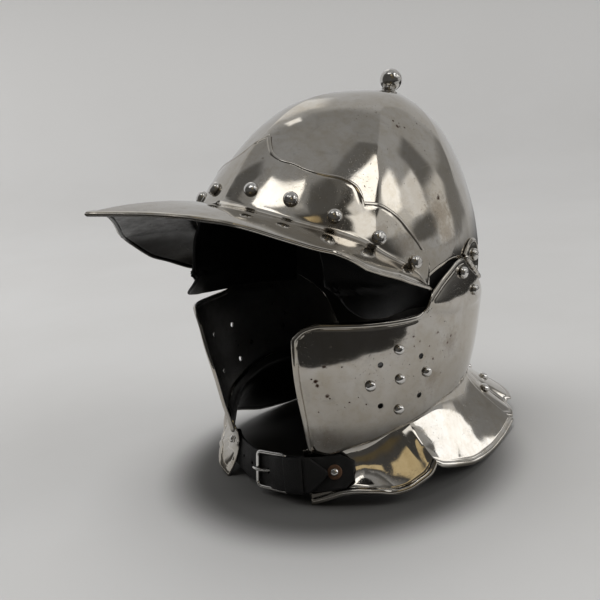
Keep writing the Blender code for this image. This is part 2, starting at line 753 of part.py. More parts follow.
def make_guard():
    half = spread((GUARD_START, 128.0, 133.0, 137.0, 140.0, 146.0, 155.0, 167.0, 180.0), 9.0)
    thetas = half + [360.0 - a for a in reversed(half[:-1])]
    fold = [a if a <= 180.0 else a - 360.0 for a in thetas]
    base = []
    for th in fold:
        length = np.linalg.norm(skirt(th, 1.0) - skirt(th, 0.0))
        end = 0.94 + 0.06 * min(max((abs(th) - COLLAR_END - 0.5) / 2.0, 0.0), 1.0)
        rows = [skirt(th, v) for v in (0.0, TUCK_SHARE, 0.38, 0.66)]
        rows += [skirt(th, v) for v in (end - (BEAD_WIDTH + 1) / length, end - BEAD_WIDTH / length, end)]
        base.append(rows)
    base = np.array(base)
    n = grid_normals(base, lambda p: np.array([p[0], p[1], 40.0]))
    sink = GUARD_SINK
    bump = np.zeros((1, 7, 1))
    bump[0, -2:, 0] = BEAD * 0.4
    outer = base + n * (bump - sink)
    inner = base - n * (STEEL + sink + bump)
    shell("rear_neck_guard", outer, inner, STEEL_MAT, angle=38.0)
    for k, (th, share) in enumerate(GUARD_RIVETS):
        p = skirt(th, share)
        u = skirt(th + 1.0, share) - skirt(th - 1.0, share)
        v = skirt(th, share + 0.03) - skirt(th, share - 0.03)
        m = np.cross(u, v)
        m = m / np.linalg.norm(m)
        if np.dot(m, np.array([p[0], p[1], 40.0])) < 0:
            m = -m
        dome(f"guard_rivet_{k + 1}", p + m * (GAP + RIVET_CLEAR - sink), m, GUARD_R, RIVET_MAT, sides=8)


BROW_RIVETS = table("az z", (11.5, -4.9), (29.7, -11.2), (47.0, -21.7), (62.4, -35.4), (75.8, -52.0))


def make_brow_rivets():
    places = [(-a, z) for a, z in zip(BROW_RIVETS["az"], BROW_RIVETS["z"])][::-1]
    places += list(zip(BROW_RIVETS["az"], BROW_RIVETS["z"]))
    for k, (az, z) in enumerate(places):
        foot = lifted(skull, az, z, PEAK_CLEAR + STEEL + GAP)
        dome(f"brow_rivet_{k + 1}", foot, normal(skull, az, z), BROW_R, RIVET_MAT, 0.8, 10)


# Hinges
def hinge_point(along, up, distance, side):
    """Point of the hinge plan: along the hinge line, up from it, and out from the skull."""
    tilt = math.atan(HINGE_SLOPE / 1.93)
    dx = along * math.cos(tilt) - up * math.sin(tilt)
    dz = along * math.sin(tilt) + up * math.cos(tilt)
    az = HINGE_AZ + dx / 1.93
    p = lifted(skull, az, HINGE_Z + dz, distance)
    return p * np.array([side, 1, 1])


def make_hinge(word, side):
    upper = []
    for k in range(9):
        a = math.pi * k / 8
        col = []
        for share in (0.12, 0.5, 0.8, 1.0):
            r = HINGE_HALF * share
            col.append((r * math.cos(a), 2.6 + 1.12 * r * math.sin(a)))
        upper.append(col)
    out_grid = [[hinge_point(s, t, GAP + STEEL, side) for s, t in col] for col in upper]
    in_grid = [[hinge_point(s, t, GAP, side) for s, t in col] for col in upper]
    nu, nv = 9, 4
    points = [p for col in out_grid for p in col] + [p for col in in_grid for p in col]
    points.append(hinge_point(0.0, 2.6, GAP + STEEL, side))
    points.append(hinge_point(0.0, 2.6, GAP, side))
    back, hub_out, hub_in = nu * nv, 2 * nu * nv, 2 * nu * nv + 1
    faces = []
    for i in range(nu - 1):
        for j in range(nv - 1):
            a, b = i * nv + j, (i + 1) * nv + j
            faces.append((a, b, b + 1, a + 1))
            faces.append((back + a, back + a + 1, back + b + 1, back + b))
        a, b = i * nv, (i + 1) * nv
        faces.append((hub_out, b, a))
        faces.append((hub_in, back + a, back + b))
        a, b = i * nv + nv - 1, (i + 1) * nv + nv - 1
        faces.append((a, b, back + b, back + a))
    for row, hub_first in ((0, True), (nu - 1, False)):
        chain = [row * nv + j for j in range(nv)]
        for a, b in zip(chain[:-1], chain[1:]):
            faces.append((a, b, back + b, back + a))
        faces.append((hub_out, chain[0], back + chain[0], hub_in))
    solid(f"hinge_leaf_{word}", np.array(points), faces, STEEL_MAT, 38.0)
    ends = [hinge_point(s, 0.0, BARREL_OUT, side) for s in (-HINGE_HALF, HINGE_HALF)]
    rod(f"hinge_barrel_{word}", ends, BARREL_R, STEEL_MAT, sides=10)
    foot = hinge_point(-2.5, 9.5, GAP + STEEL + GAP, side)
    n = normal(skull, 108.0, -50.0) * np.array([side, 1, 1])
    head = dome(f"hinge_screw_{word}", foot, n, SCREW_R, RIVET_MAT, 0.72, 12)
    u, v, w = frame_of(n)
    slot = []
    for a, b, c in ((-1, -1, 0), (1, -1, 0), (1, 1, 0), (-1, 1, 0), (-1, -1, 1), (1, -1, 1), (1, 1, 1), (-1, 1, 1)):
        slot.append(foot + u * a * 0.55 + v * b * 7.0 + w * (1.9 + 4.0 * c))
    box = [(0, 3, 2, 1), (4, 5, 6, 7), (0, 1, 5, 4), (1, 2, 6, 5), (2, 3, 7, 6), (3, 0, 4, 7)]
    cut_away(head, solid(f"cutter_screw_{word}", np.array(slot), box, STEEL_MAT), "slot")
    for k, (az, z) in enumerate(((98.3, -62.5), (107.9, -76.9))):
        foot, n = cheek_place(az, z, side, GAP)
        dome(f"ear_rivet_{word}_{k + 1}", foot, n, EAR_R, RIVET_MAT)


def apex_drop(x, y):
    """Height of the skull above a point near its apex."""
    low, high = APEX_Z - 30.0, APEX_Z
    az = math.degrees(math.atan2(x, -(y - APEX_Y)))
    r = math.hypot(x, y - APEX_Y)
    for _ in range(30):
        z = (low + high) / 2
        p = skull(az, z)
        if math.hypot(p[0], p[1] - APEX_Y) > r:
            low = z
        else:
            high = z
    return z


# Finial
def make_finial():
    sides = 14
    axis = np.array([0.0, math.sin(FINIAL_LEAN), math.cos(FINIAL_LEAN)])
    across = np.array([1.0, 0.0, 0.0])
    along = np.cross(axis, across)
    foot = np.array([0.0, APEX_Y, APEX_Z])
    reach = 10.9
    rows = [(6.6, None), (6.3, None), (4.6, 1.9), (5.3, 2.3), (5.3, 3.4), (4.4, 3.7)]
    start = math.asin(4.4 / BALL_R)
    for k in range(7):
        a = start + (math.pi - start) * k / 7
        rows.append((BALL_R * math.sin(a), reach - BALL_R * math.cos(a)))
    points = []
    for n, (r, h) in enumerate(rows):
        for k in range(sides):
            t = 2 * math.pi * k / sides
            if h is None:
                x, y = r * math.cos(t), APEX_Y + r * math.sin(t)
                z = apex_drop(x, y) + GAP + (0.9 if n == 1 else 0.0)
                points.append(np.array([x, y, z]))
            else:
                points.append(foot + axis * h + (across * math.cos(t) + along * math.sin(t)) * r)
    points.append(np.array([0.0, APEX_Y, APEX_Z + GAP]))
    points.append(foot + axis * (reach + BALL_R))
    faces = []
    bottom, top = len(points) - 2, len(points) - 1
    for k in range(sides):
        n = (k + 1) % sides
        faces.append((bottom, n, k))
        for j in range(len(rows) - 1):
            a = j * sides
            faces.append((a + k, a + n, a + sides + n, a + sides + k))
        a = (len(rows) - 1) * sides
        faces.append((a + k, a + n, top))
    return solid("finial", np.array(points), faces, RIVET_MAT, 45.0)


# Leather lining that shows at the temples
def make_lining():
    half = spread((0.0, 30.0, 40.0, 44.0, 46.5, 50.0, 53.5, 58.0, 65.0, 76.0, 88.0, 100.0, 112.0), 10.0)
    azimuths = [-a for a in reversed(half[1:])] + half
    outer, inner = [], []
    for az in azimuths:
        a = abs(az)
        low = lining_z(a)
        top = max(low + 14.0, 20.0 - 0.62 * a)
        col_out, col_in = [], []
        for share in (0.0, 0.4, 0.7, 0.8, 0.9, 1.0):
            z = top + (low - top) * share
            curl = tab_curl(a) * min(max((TAB_TOP - z) / TAB_DROP, 0.0), 1.2) ** 1.6
            col_out.append(lifted(skull, az, z, curl - STEEL - LINING_CLEAR))
            col_in.append(lifted(skull, az, z, curl - STEEL - LINING_CLEAR - LEATHER))
        outer.append(col_out)
        inner.append(col_in)
    return shell("lining", outer, inner, LEATHER_MAT, angle=38.0)


# Chin strap: its middle line by x, and how far its face leans up
STRAP_PATH = table(
    "x y z lean",
    (-53, -60.4, -200.3, 12), (-47.5, -63.8, -201.3, 10), (-43, -66.0, -202.2, 7),
    (-37.5, -68.9, -203.2, 3), (-30, -72.2, -204.2, 0), (-22, -75.4, -205.1, 0), (-12, -78.3, -206.0, 0),
    (-2, -80.2, -206.4, 0), (8, -81.2, -206.2, 0), (18, -81.6, -205.4, 0), (28, -81.2, -204.2, 0),
    (34, -80.2, -203.3, 1), (39, -78.6, -202.6, 4), (43, -77.2, -202.0, 8), (46.8, -75.3, -201.5, 12),
    (50.6, -72.9, -201.0, 17), (55.7, -69.9, -199.8, 23), (60.5, -66.7, -198.6, 25),
    (65.5, -62.7, -197.2, 26), (68.5, -60.1, -196.4, 26),
)
strap_y = smooth(STRAP_PATH["x"], STRAP_PATH["y"])
strap_z = smooth(STRAP_PATH["x"], STRAP_PATH["z"])
strap_lean = smooth(STRAP_PATH["x"], STRAP_PATH["lean"])
BUCKLE_LEFT, BUCKLE_RIGHT = -3.2, 24.6
BUCKLE_HALF = STRAP_WIDTH / 2 + 0.4 + BUCKLE_WIRE_R
LAYER = LEATHER / 2 + GAP + BUCKLE_WIRE_R
PRONG_R = 0.95
BEND_CLEAR = 0.7


def strap_at(x, out=0.0, up=0.0):
    """Point, width direction and face direction of the strap at a place across the throat."""
    p = fitted(x, strap_y(x), strap_z(x))
    ahead = fitted(x + 0.5, strap_y(x + 0.5), strap_z(x + 0.5)) - fitted(x - 0.5, strap_y(x - 0.5), strap_z(x - 0.5))
    ahead = ahead / np.linalg.norm(ahead)
    rise = np.array([0.0, 0.0, 1.0]) - ahead * ahead[2]
    rise = rise / np.linalg.norm(rise)
    face = np.cross(ahead, rise)
    if face[1] > 0:
        face = -face
    lean = math.radians(strap_lean(x))
    tipped = face * math.cos(lean) + rise * math.sin(lean)
    rise = rise * math.cos(lean) - face * math.sin(lean)
    return p + tipped * out + rise * up, rise, tipped


def ramp(x):
    """How far the tongue of the strap stands over the buckle's hidden bar and the chape."""
    t = min(max((x - 1.0) / 21.0, 0.0), 1.0)
    bend = min(max((x - 37.0) / 4.0, 0.0), 1.0)
    return LAYER * t * t * (3 - 2 * t) + BEND_CLEAR * bend


def make_strap():
    xs = [-53, -47.5, -43, -37.5, -30, -22, -12, -5, 1, 6, 11, 16, 20, 25, 29.5, 34, 39, 43, 46.8, 50.6, 53.4]
    path = [strap_at(x, ramp(x))[0] for x in xs]
    ups = [strap_at(x)[1] for x in xs]
    widths = [17.0] + [STRAP_WIDTH] * 18 + [16.5, 5.0]
    billet = ribbon("strap_billet", path, ups, widths, LEATHER, LEATHER_MAT)
    corners = []
    for out in (-3.0, 5.0):
        for x, up in ((3.2, -1.5), (11.6, -1.5), (11.6, 1.5), (3.2, 1.5)):
            corners.append(strap_at(x, out, up)[0])
    box = [(0, 3, 2, 1), (4, 5, 6, 7), (0, 1, 5, 4), (1, 2, 6, 5), (2, 3, 7, 6), (3, 0, 4, 7)]
    cut_away(billet, solid("cutter_prong_hole", np.array(corners), box, LEATHER_MAT), "prong_hole")
    xs = [BUCKLE_RIGHT + BUCKLE_WIRE_R + GAP, 29.5, 34, 39, 43, 46.8, 50.6, 53.4, 56.6, 60.5, 65.0, 68.5]
    path = [strap_at(x)[0] for x in xs]
    ups = [strap_at(x)[1] for x in xs]
    ribbon("strap_chape", path, ups, [STRAP_WIDTH] * 10 + [19.0, 11.0], LEATHER, LEATHER_MAT)
    wire = []
    turn = 4.0
    for x0, up0, a0, a1, r in (
        (BUCKLE_LEFT, BUCKLE_HALF, 180, 90, turn), (BUCKLE_RIGHT, BUCKLE_HALF, 90, 0, 2.0),
        (BUCKLE_RIGHT, -BUCKLE_HALF, 0, -90, 2.0), (BUCKLE_LEFT, -BUCKLE_HALF, -90, -180, turn),
    ):
        cx = x0 + r if x0 < 5 else x0 - r
        cu = up0 - r if up0 > 0 else up0 + r
        for k in range(4):
            a = math.radians(a0 + (a1 - a0) * k / 3)
            x, up = cx + r * math.cos(a), cu + r * math.sin(a)
            share = (x - BUCKLE_LEFT) / (BUCKLE_RIGHT - BUCKLE_LEFT)
            wire.append(strap_at(x, LAYER * (1 - share), up)[0])
    rod("buckle_frame", wire, BUCKLE_WIRE_R, NICKEL_MAT, closed=True, sides=8)
    run = ((22.4, -0.3), (16, -0.9), (11, -1.6), (8.6, -0.8), (6.2, 1.4), (3, 4.0), (0, 5.1), (-2.5, 5.4), (-5.3, 4.9))
    rod("buckle_prong", [strap_at(x, out)[0] for x, out in run], PRONG_R, NICKEL_MAT, sides=8)
    make_keeper()
    foot, rise, face = strap_at(58.6, LEATHER / 2 + GAP)
    turned("strap_washer", foot, face, [(0, 0), (4.9, 0), (5.1, 0.5), (4.7, 1.2), (0, 1.2)], BROWN_MAT, 14)
    dome("strap_rivet_near", foot + face * (1.2 + GAP), face, STRAP_R, RIVET_MAT, 0.8, 10)
    p = skirt(-33.0, 0.45)
    u = skirt(-32.0, 0.45) - skirt(-34.0, 0.45)
    v = skirt(-33.0, 0.48) - skirt(-33.0, 0.42)
    n = np.cross(u, v)
    n = n / np.linalg.norm(n)
    if n[1] > 0:
        n = -n
    dome("strap_rivet_far", p + n * GAP, n, STRAP_R, RIVET_MAT, 0.8, 10)


def make_keeper():
    """Leather loop round both layers of the strap."""
    low, high = -LEATHER / 2 - GAP, LAYER + LEATHER / 2 + GAP
    wall = 1.7
    half = STRAP_WIDTH / 2 + 0.4
    rings = []
    for grow in (0.0, wall):
        ring = [(-half - grow, low - grow), (half + grow, low - grow), (half + grow, high + grow), (-half - grow, high + grow)]
        rings.append(ring)
    stations = (26.9, 31.0, 35.0, 39.0)
    points, faces = [], []
    for x in stations:
        for ring in rings:
            for up, out in ring:
                points.append(strap_at(x, out, up)[0])
    for k in range(len(stations) - 1):
        a, b = 8 * k, 8 * (k + 1)
        for s in range(4):
            e = (s + 1) % 4
            faces.append((a + s, b + s, b + e, a + e))
            faces.append((a + 4 + s, a + 4 + e, b + 4 + e, b + 4 + s))
    for a in (0, 8 * (len(stations) - 1)):
        for s in range(4):
            e = (s + 1) % 4
            faces.append((a + s, a + e, a + 4 + e, a + 4 + s))
    solid("strap_keeper", np.array(points), faces, LEATHER_MAT, 35.0)


make_skull()
make_peak()
make_brow_rivets()
make_finial()
for word, side in (("left", 1.0), ("right", -1.0)):
    make_cheek(f"cheek_{word}", side)
    make_collar(f"collar_{word}", side)
    make_hinge(word, side)
make_guard()
make_lining()
make_strap()
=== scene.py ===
"""Looks of the close helmet: fine plates, rivets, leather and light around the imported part.

Sizes are millimetres in the worn frame, as in the part's own source, and rest() turns them
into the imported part's frame in metres.
"""

import bpy
import bmesh
import math
import numpy as np
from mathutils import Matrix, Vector, noise


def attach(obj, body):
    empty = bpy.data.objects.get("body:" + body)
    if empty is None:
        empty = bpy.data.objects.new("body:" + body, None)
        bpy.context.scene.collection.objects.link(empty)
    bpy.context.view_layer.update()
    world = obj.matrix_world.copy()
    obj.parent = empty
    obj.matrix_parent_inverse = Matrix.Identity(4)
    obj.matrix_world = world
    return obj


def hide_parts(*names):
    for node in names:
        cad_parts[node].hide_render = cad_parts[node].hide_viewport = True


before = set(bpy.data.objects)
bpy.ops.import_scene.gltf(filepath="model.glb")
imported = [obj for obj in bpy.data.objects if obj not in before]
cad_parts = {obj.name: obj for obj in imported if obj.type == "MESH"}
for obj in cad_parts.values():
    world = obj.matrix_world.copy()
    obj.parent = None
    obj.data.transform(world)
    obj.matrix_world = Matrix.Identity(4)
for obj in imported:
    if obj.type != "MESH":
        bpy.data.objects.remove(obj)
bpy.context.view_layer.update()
MM = 0.001

# Overall sizes
HALF_WIDTH = 102.5
FRONT_REACH = 134.0
REAR_REACH = 129.5
APEX_Y = 62.0
APEX_Z = 73.5
FULL_DROP = 134.0
BASE_DROP = 215.0

# Plate and leather thicknesses, and the clearances between pieces
STEEL = 1.5
LEATHER = 2.2
GAP = 0.35
LAP = 0.5
LINING_CLEAR = 1.25
PEAK_CLEAR = 0.65
BEAD = 0.9
BEAD_WIDTH = 2.6

# Skull panels: azimuths of the raised ridges, and how flat the panels are
RIDGES = (0.0, 62.0, 103.0, 142.0, 180.0)
FLAT_TOP = 0.42
FLAT_FRONT = 0.26
FLAT_BACK = 0.07
FADE_DROP = 95.0

# Radii of the rivets, the hinge screws and the hearing holes
BROW_R = 5.1
CHEEK_R = 3.8
GUARD_R = 4.2
EAR_R = 4.4
SCREW_R = 4.6
STRAP_R = 2.9
HOLE_R = 2.1

# Hinge. Its slope is millimetres of height per degree, and its arc is millimetres of skull per degree
HINGE_AZ = 109.5
HINGE_Z = -61.0
HINGE_SLOPE = -1.08
HINGE_ARC = 1.93
HINGE_HALF = 17.0
LEAF_FOOT = 2.6
LEAF_STRETCH = 1.12
SCREW_ALONG, SCREW_UP = -2.5, 9.5
BARREL_R = 2.0
BARREL_OUT = 3.4

# Finial
BALL_R = 9.0
FINIAL_LEAN = math.radians(20.0)

# Strap
STRAP_WIDTH = 22.8
BUCKLE_WIRE_R = 1.35


def table(columns, *rows):
    """Name the columns of a short table."""
    names = columns.split()
    return {name: [float(row[k]) for row in rows] for k, name in enumerate(names)}


def smooth(xs, ys):
    """Smooth curve through points that keeps to their rise and fall."""
    n = len(xs)
    slope = [(ys[k + 1] - ys[k]) / (xs[k + 1] - xs[k]) for k in range(n - 1)]
    tangent = [slope[0]]
    for k in range(1, n - 1):
        a, b = slope[k - 1], slope[k]
        tangent.append(0.0 if a * b <= 0 else 2 * a * b / (a + b))
    tangent.append(slope[-1])

    def curve(x):
        x = min(max(x, xs[0]), xs[-1])
        k = 0
        while k < n - 2 and x > xs[k + 1]:
            k += 1
        h = xs[k + 1] - xs[k]
        t = (x - xs[k]) / h
        a = (1 + 2 * t) * (1 - t) ** 2 * ys[k] + t * (1 - t) ** 2 * h * tangent[k]
        b = t * t * (3 - 2 * t) * ys[k + 1] + t * t * (t - 1) * h * tangent[k + 1]
        return a + b

    return curve


def cusped(rows, key, value, corners=()):
    """Smooth curve through a table's columns, with a sharp turn at each corner."""
    xs, ys = rows[key], rows[value]
    cuts = [0] + [k for k in range(1, len(xs) - 1) if xs[k] in corners] + [len(xs) - 1]
    parts = []
    for a, b in zip(cuts[:-1], cuts[1:]):
        parts.append((xs[b], smooth(xs[a:b + 1], ys[a:b + 1])))

    def curve(x):
        for end, part in parts:
            if x <= end:
                return part(x)
        return parts[-1][1](x)

    return curve


# Share of the apex-to-brim reach gained at each share of the drop from the apex, before and behind
PROFILE = table(
    "drop fore aft",
    (0.0, 0.0, 0.0), (0.018, 0.25, 0.068), (0.0485, 0.385, 0.20), (0.11, 0.52, 0.384),
    (0.206, 0.635, 0.563), (0.325, 0.735, 0.698), (0.449, 0.815, 0.806), (0.5925, 0.89, 0.89),
    (0.741, 0.955, 0.955), (0.888, 0.993, 0.993), (1.0, 1.0, 1.0),
)
# Azimuths between which the fore profile turns into the aft one
PROFILE_TURN = (68.0, 122.0)
# Shares of HALF_WIDTH, FRONT_REACH and REAR_REACH at each share of BASE_DROP
BODY = table(
    "drop side front rear",
    (0.0, 1.0, 1.0, 1.0), (0.209, 1.0, 1.0, 1.0), (0.367, 1.007, 0.90, 1.004),
    (0.46, 0.993, 0.849, 0.991), (0.563, 0.972, 0.799, 0.969), (0.66, 0.934, 0.746, 0.931),
    (0.767, 0.883, 0.690, 0.876), (0.884, 0.829, 0.627, 0.811), (1.0, 0.80, 0.597, 0.772),
)

body_side = smooth(BODY["drop"], BODY["side"])
body_front = smooth(BODY["drop"], BODY["front"])
body_rear = smooth(BODY["drop"], BODY["rear"])
fore_root = smooth([math.sqrt(v) for v in PROFILE["drop"]], PROFILE["fore"])
aft_root = smooth([math.sqrt(v) for v in PROFILE["drop"]], PROFILE["aft"])


def envelope(z):
    """Half width, front reach and rear reach of the cheek surface at a height."""
    share = min(max(-z / BASE_DROP, 0.0), 1.0)
    return (
        HALF_WIDTH * body_side(share),
        FRONT_REACH * body_front(share),
        REAR_REACH * body_rear(share),
    )


def flatness(azimuth, drop):
    """How far the panels are from round: all at the apex, little at the rim."""
    low = FLAT_FRONT if abs(azimuth) < RIDGES[1] else FLAT_BACK
    share = min(drop / FADE_DROP, 1.0)
    return FLAT_TOP + (low - FLAT_TOP) * share


def panel(azimuth, drop):
    """Radius factor of the panelled skull between two neighbouring ridges."""
    a = abs((azimuth + 180.0) % 360.0 - 180.0)
    for left, right in zip(RIDGES[:-1], RIDGES[1:]):
        if a <= right:
            break
    half = math.radians((right - left) / 2)
    off = math.radians(a - (left + right) / 2)
    flat = 1.0 - math.cos(half) / math.cos(off)
    return 1.0 - flatness(a, drop) * flat


# Gap from the cheek surface to the skull inside it, and its growth towards the nape
SKULL_INSET = (2.6, 3.9)
# Height below which that gap grows, over which span, and the height above which the front isn't drawn in
INSET_TOP, INSET_SPAN = -45.0, 75.0
FRONT_FULL = -70.0


def skull_reach(z):
    """Half width, front and rear reach of the skull, inside the cheek surface."""
    side, front, rear = envelope(z)
    low = min(max((INSET_TOP - z) / INSET_SPAN, 0.0), 1.0)
    inset = SKULL_INSET[0] + SKULL_INSET[1] * low
    if z > FRONT_FULL:
        front = FRONT_REACH
    return side - inset, front, rear - inset


def skull(azimuth, z):
    """Point of the skull's outer surface."""
    drop = APEX_Z - z
    root = math.sqrt(min(max(drop / FULL_DROP, 0.0), 1.0))
    phi = math.radians(azimuth)
    around = math.degrees(math.acos(math.cos(phi)))
    turn = min(max((around - PROFILE_TURN[0]) / (PROFILE_TURN[1] - PROFILE_TURN[0]), 0.0), 1.0)
    turn = turn * turn * (3 - 2 * turn)
    g = fore_root(root) + (aft_root(root) - fore_root(root)) * turn
    side, front, rear = skull_reach(z)
    reach = front if math.cos(phi) > 0 else rear
    f = panel(azimuth, drop)
    x = side * f * math.sin(phi)
    y = -reach * f * math.cos(phi)
    return np.array([g * x, APEX_Y + g * (y - APEX_Y), z])


def cheek(azimuth, z):
    """Point of the cheek pieces' outer surface."""
    side, front, rear = envelope(z)
    phi = math.radians(azimuth)
    reach = front if math.cos(phi) > 0 else rear
    return np.array([side * math.sin(phi), -reach * math.cos(phi), z])


def unit(v):
    """Vector of length one."""
    return v / max(np.linalg.norm(v), 1e-9)


def normal(surface, azimuth, z):
    """Outward normal of a surface given by azimuth and height."""
    u = surface(azimuth + 0.8, z) - surface(azimuth - 0.8, z)
    v = surface(azimuth, z + 0.4) - surface(azimuth, z - 0.4)
    return unit(np.cross(u, v))


def lifted(surface, azimuth, z, distance):
    """Point at a distance from a surface, outside it if the distance is positive."""
    return surface(azimuth, z) + normal(surface, azimuth, z) * distance


# Height of the fold between the peak and its riveted flange
FOLD = table(
    "az z",
    (0, -14), (16, -18.5), (31.5, -24.3), (46.2, -30.7), (57.8, -38.1), (63.3, -44.0),
    (77.2, -59.6), (82.0, -70.6),
)
# Height of the flange's upper edge, whose middle cusp stands on the keel
FLANGE = table(
    "az z",
    (0, 33), (5, 26.5), (11, 19.5), (18, 15.5), (25.5, 13.2), (32.5, 9.2), (39.6, 6.2),
    (46.8, 3.9), (52.9, -0.7), (55.8, -6.5), (57.0, -12.6), (61, -13.1), (68.7, -20.5),
    (75.2, -34), (80.5, -48), (82.6, -57),
)
FLANGE_CORNERS = (57.0,)
# Azimuth at which the flange's middle cusp stands, and the azimuth up to which that shifts its edge
CUSP_SHIFT = 4.5
CUSP_REACH = 25.5
# Outline of the peak, read from the tip to its end at the temple
BRIM = table(
    "az x y z far_drop",
    (0, 0, -224, -19.4, 0), (3, 6, -220, -19.4, 0), (7, 13.5, -213, -19.4, 0), (11, 22, -203.7, -19.5, 0),
    (15, 31, -193.9, -20.1, 0), (20, 41.5, -183.8, -21.2, 0), (24, 49.5, -175.4, -22.9, 0),
    (28, 57, -168.8, -24.3, 0), (32, 67, -159.7, -27.3, 0), (38, 82, -145.8, -33.5, 0),
    (43, 91, -138.2, -36.9, 0), (47.5, 98.5, -131.2, -39.7, 0), (52, 105.5, -124.6, -41.8, 0),
    (56, 110, -116.1, -45.7, 0.3), (61, 112.3, -102.6, -52.7, 0.8), (66, 114, -90.4, -56.3, 2.8),
    (71, 114, -75.1, -59.8, 3.4), (76, 110.5, -55.4, -64.9, 4.5), (80, 105.5, -35.4, -69.4, 3.0),
    (82, 101.3, -19.8, -72.8, 2.0),
)
BRIM_CORNERS = (52.0, 61.0)
# Bulge of the peak's underside at the keel, how much less it is at the side, and from which azimuth
BULGE = 4.6
BULGE_LESS = 3.4
BULGE_AZ = 50.0
# Lower edge of the skull plate
SKULL_RIM = table(
    "az z",
    (0, -12.5), (31.5, -22.8), (46.2, -29.2), (57.8, -36.6), (63.3, -42.5), (77.2, -58),
    (80.5, -67), (84, -61.5), (89, -56.5), (96.8, -52.5), (101, -54), (103.5, -66), (110, -75), (119, -86),
    (126, -98), (134, -126), (145, -140), (180, -146),
)
# Cheek piece: height of its upper edge at each share along the piece
CHEEK_TOP = table(
    "u z",
    (0.0, -104.0), (0.004, -100.2), (0.013, -96.4), (0.028, -93.9), (0.048, -92.3), (0.075, -91.4),
    (0.25, -91.0),
    (0.36, -89.8), (0.425, -88.2), (0.445, -86.5), (0.46, -82), (0.475, -76), (0.50, -71.5),
    (0.53, -66.3), (0.575, -60), (0.62, -54.5), (0.655, -53.2), (0.70, -60.2),
    (0.80, -70.5), (0.90, -82), (1.0, -96),
)
# Azimuth of its front edge by height over its foot
CHEEK_FOOT = -190.0
CHEEK_FRONT = table(
    "z az",
    (0, 27.4), (18, 27.2), (53, 25.9), (86, 27.2), (92, 29.2), (104, 33.0),
)
CHEEK_FRONT_AZ = 26.5
CHEEK_REAR_AZ = 134.0
CHEEK_LENGTH = 190.0
# Collar rim in the ellipse angle of its plan, from the front corner to the nape
RIM = table(
    "th x y z",
    (25, 44.4, -76.5, -223.5), (31, 57, -74, -217.5), (36, 67, -69, -212.5), (44, 79.3, -62, -209.9),
    (50, 88, -55, -209.5), (57, 95, -47, -210.7), (63, 101.5, -39, -208.6), (69, 106, -31, -204),
    (74, 109.4, -23.5, -198.5), (77.5, 110, -19.5, -192.0), (81, 112.2, -14, -195), (92, 114, 5, -198.8),
    (100, 113.2, 28, -202.2), (110, 110, 54, -201), (120, 105, 80, -196.4), (128, 98, 109, -187.6),
    (133, 92, 118, -182.5), (137, 82, 126, -179), (140, 82.5, 131, -177.8), (146, 77, 139.5, -175),
    (155, 63, 148, -171.0), (167, 36, 153, -165.5), (180, 0, 156, -163.0),
)
RIM_CORNERS = (77.5, 128.0, 137.0)
# Ellipse angles at which the collar ends and the rear guard starts inside it
COLLAR_END = 127.0
COLLAR_STOPS = (25.0, 28.0, 36.0, 50.0, 57.0, 69.0, 74.0, 77.5, 81.0, 92.0, 110.0, 120.0, COLLAR_END)
GUARD_START = 121.0
GUARD_SINK = STEEL + LAP + 0.6
# Lower edge of the cheek pieces, from which the collar and the rear guard flare
NECK = table(
    "th z",
    (25, -188), (29.5, -187), (36, -188.5), (46, -183), (58, -178), (66, -173), (72.5, -169.7),
    (85.4, -162.5), (97.6, -155), (112, -151), (118, -149.5), (128, -145), (140, -140), (180, -135),
)
# How much the upward side counts where a flared plate's outer face is told from its inner one
UP_WEIGHT = 40.0
# Height that a flared plate reaches up inside the cheek piece, and the share of its rows there
TUCK = 6.0
TUCK_SHARE = 0.15
# Share of the flare that runs steeply, how much less that is behind the strap, and where it drops
FLARE_KNEE = 0.42
KNEE_LESS = 0.27
KNEE_START, KNEE_SPAN = 52.0, 20.0
# Lower edge of the leather lining
LINING_LOW = table(
    "az z",
    (0, -8), (30, -16), (40, -25), (44, -45), (46.5, -66), (50, -79), (56, -84), (64, -85.5),
    (80, -84), (90, -83.5), (100, -84), (112, -84),
)
# Outward curl of the lining's ear tabs at their lower edge, and the height at which it starts
TAB_CURL = table(
    "az out",
    (0, 0), (38, 0), (44, 8), (48, 15), (53, 16.5), (59, 12), (67, 4.5), (76, 0), (112, 0),
)
TAB_TOP = -62.0
TAB_DROP = 21.0

fold_z = cusped(FOLD, "az", "z")
flange_z = cusped(FLANGE, "az", "z", FLANGE_CORNERS)
brim_x = cusped(BRIM, "az", "x", BRIM_CORNERS)
brim_y = cusped(BRIM, "az", "y", BRIM_CORNERS)
brim_z = cusped(BRIM, "az", "z", BRIM_CORNERS)
brim_drop = cusped(BRIM, "az", "far_drop", BRIM_CORNERS)
skull_rim_z = cusped(SKULL_RIM, "az", "z", (80.5, 101.0))
cheek_top_z = cusped(CHEEK_TOP, "u", "z")
cheek_front_az = cusped(CHEEK_FRONT, "z", "az")
rim_x = cusped(RIM, "th", "x", RIM_CORNERS)
rim_y = cusped(RIM, "th", "y", RIM_CORNERS)
rim_z = cusped(RIM, "th", "z", RIM_CORNERS)
neck_z = cusped(NECK, "th", "z")
lining_z = cusped(LINING_LOW, "az", "z")
tab_curl = cusped(TAB_CURL, "az", "out")


def rim(theta):
    """Point of the collar's rim, either side of the keel plane."""
    t = abs(theta)
    side = 1.0 if theta >= 0 else -1.0
    return np.array([side * rim_x(t), rim_y(t), rim_z(t)])


def flare_knee(theta):
    """Share of the flare that still runs steeply, less behind the strap."""
    return FLARE_KNEE - KNEE_LESS * min(max((abs(theta) - KNEE_START) / KNEE_SPAN, 0.0), 1.0)


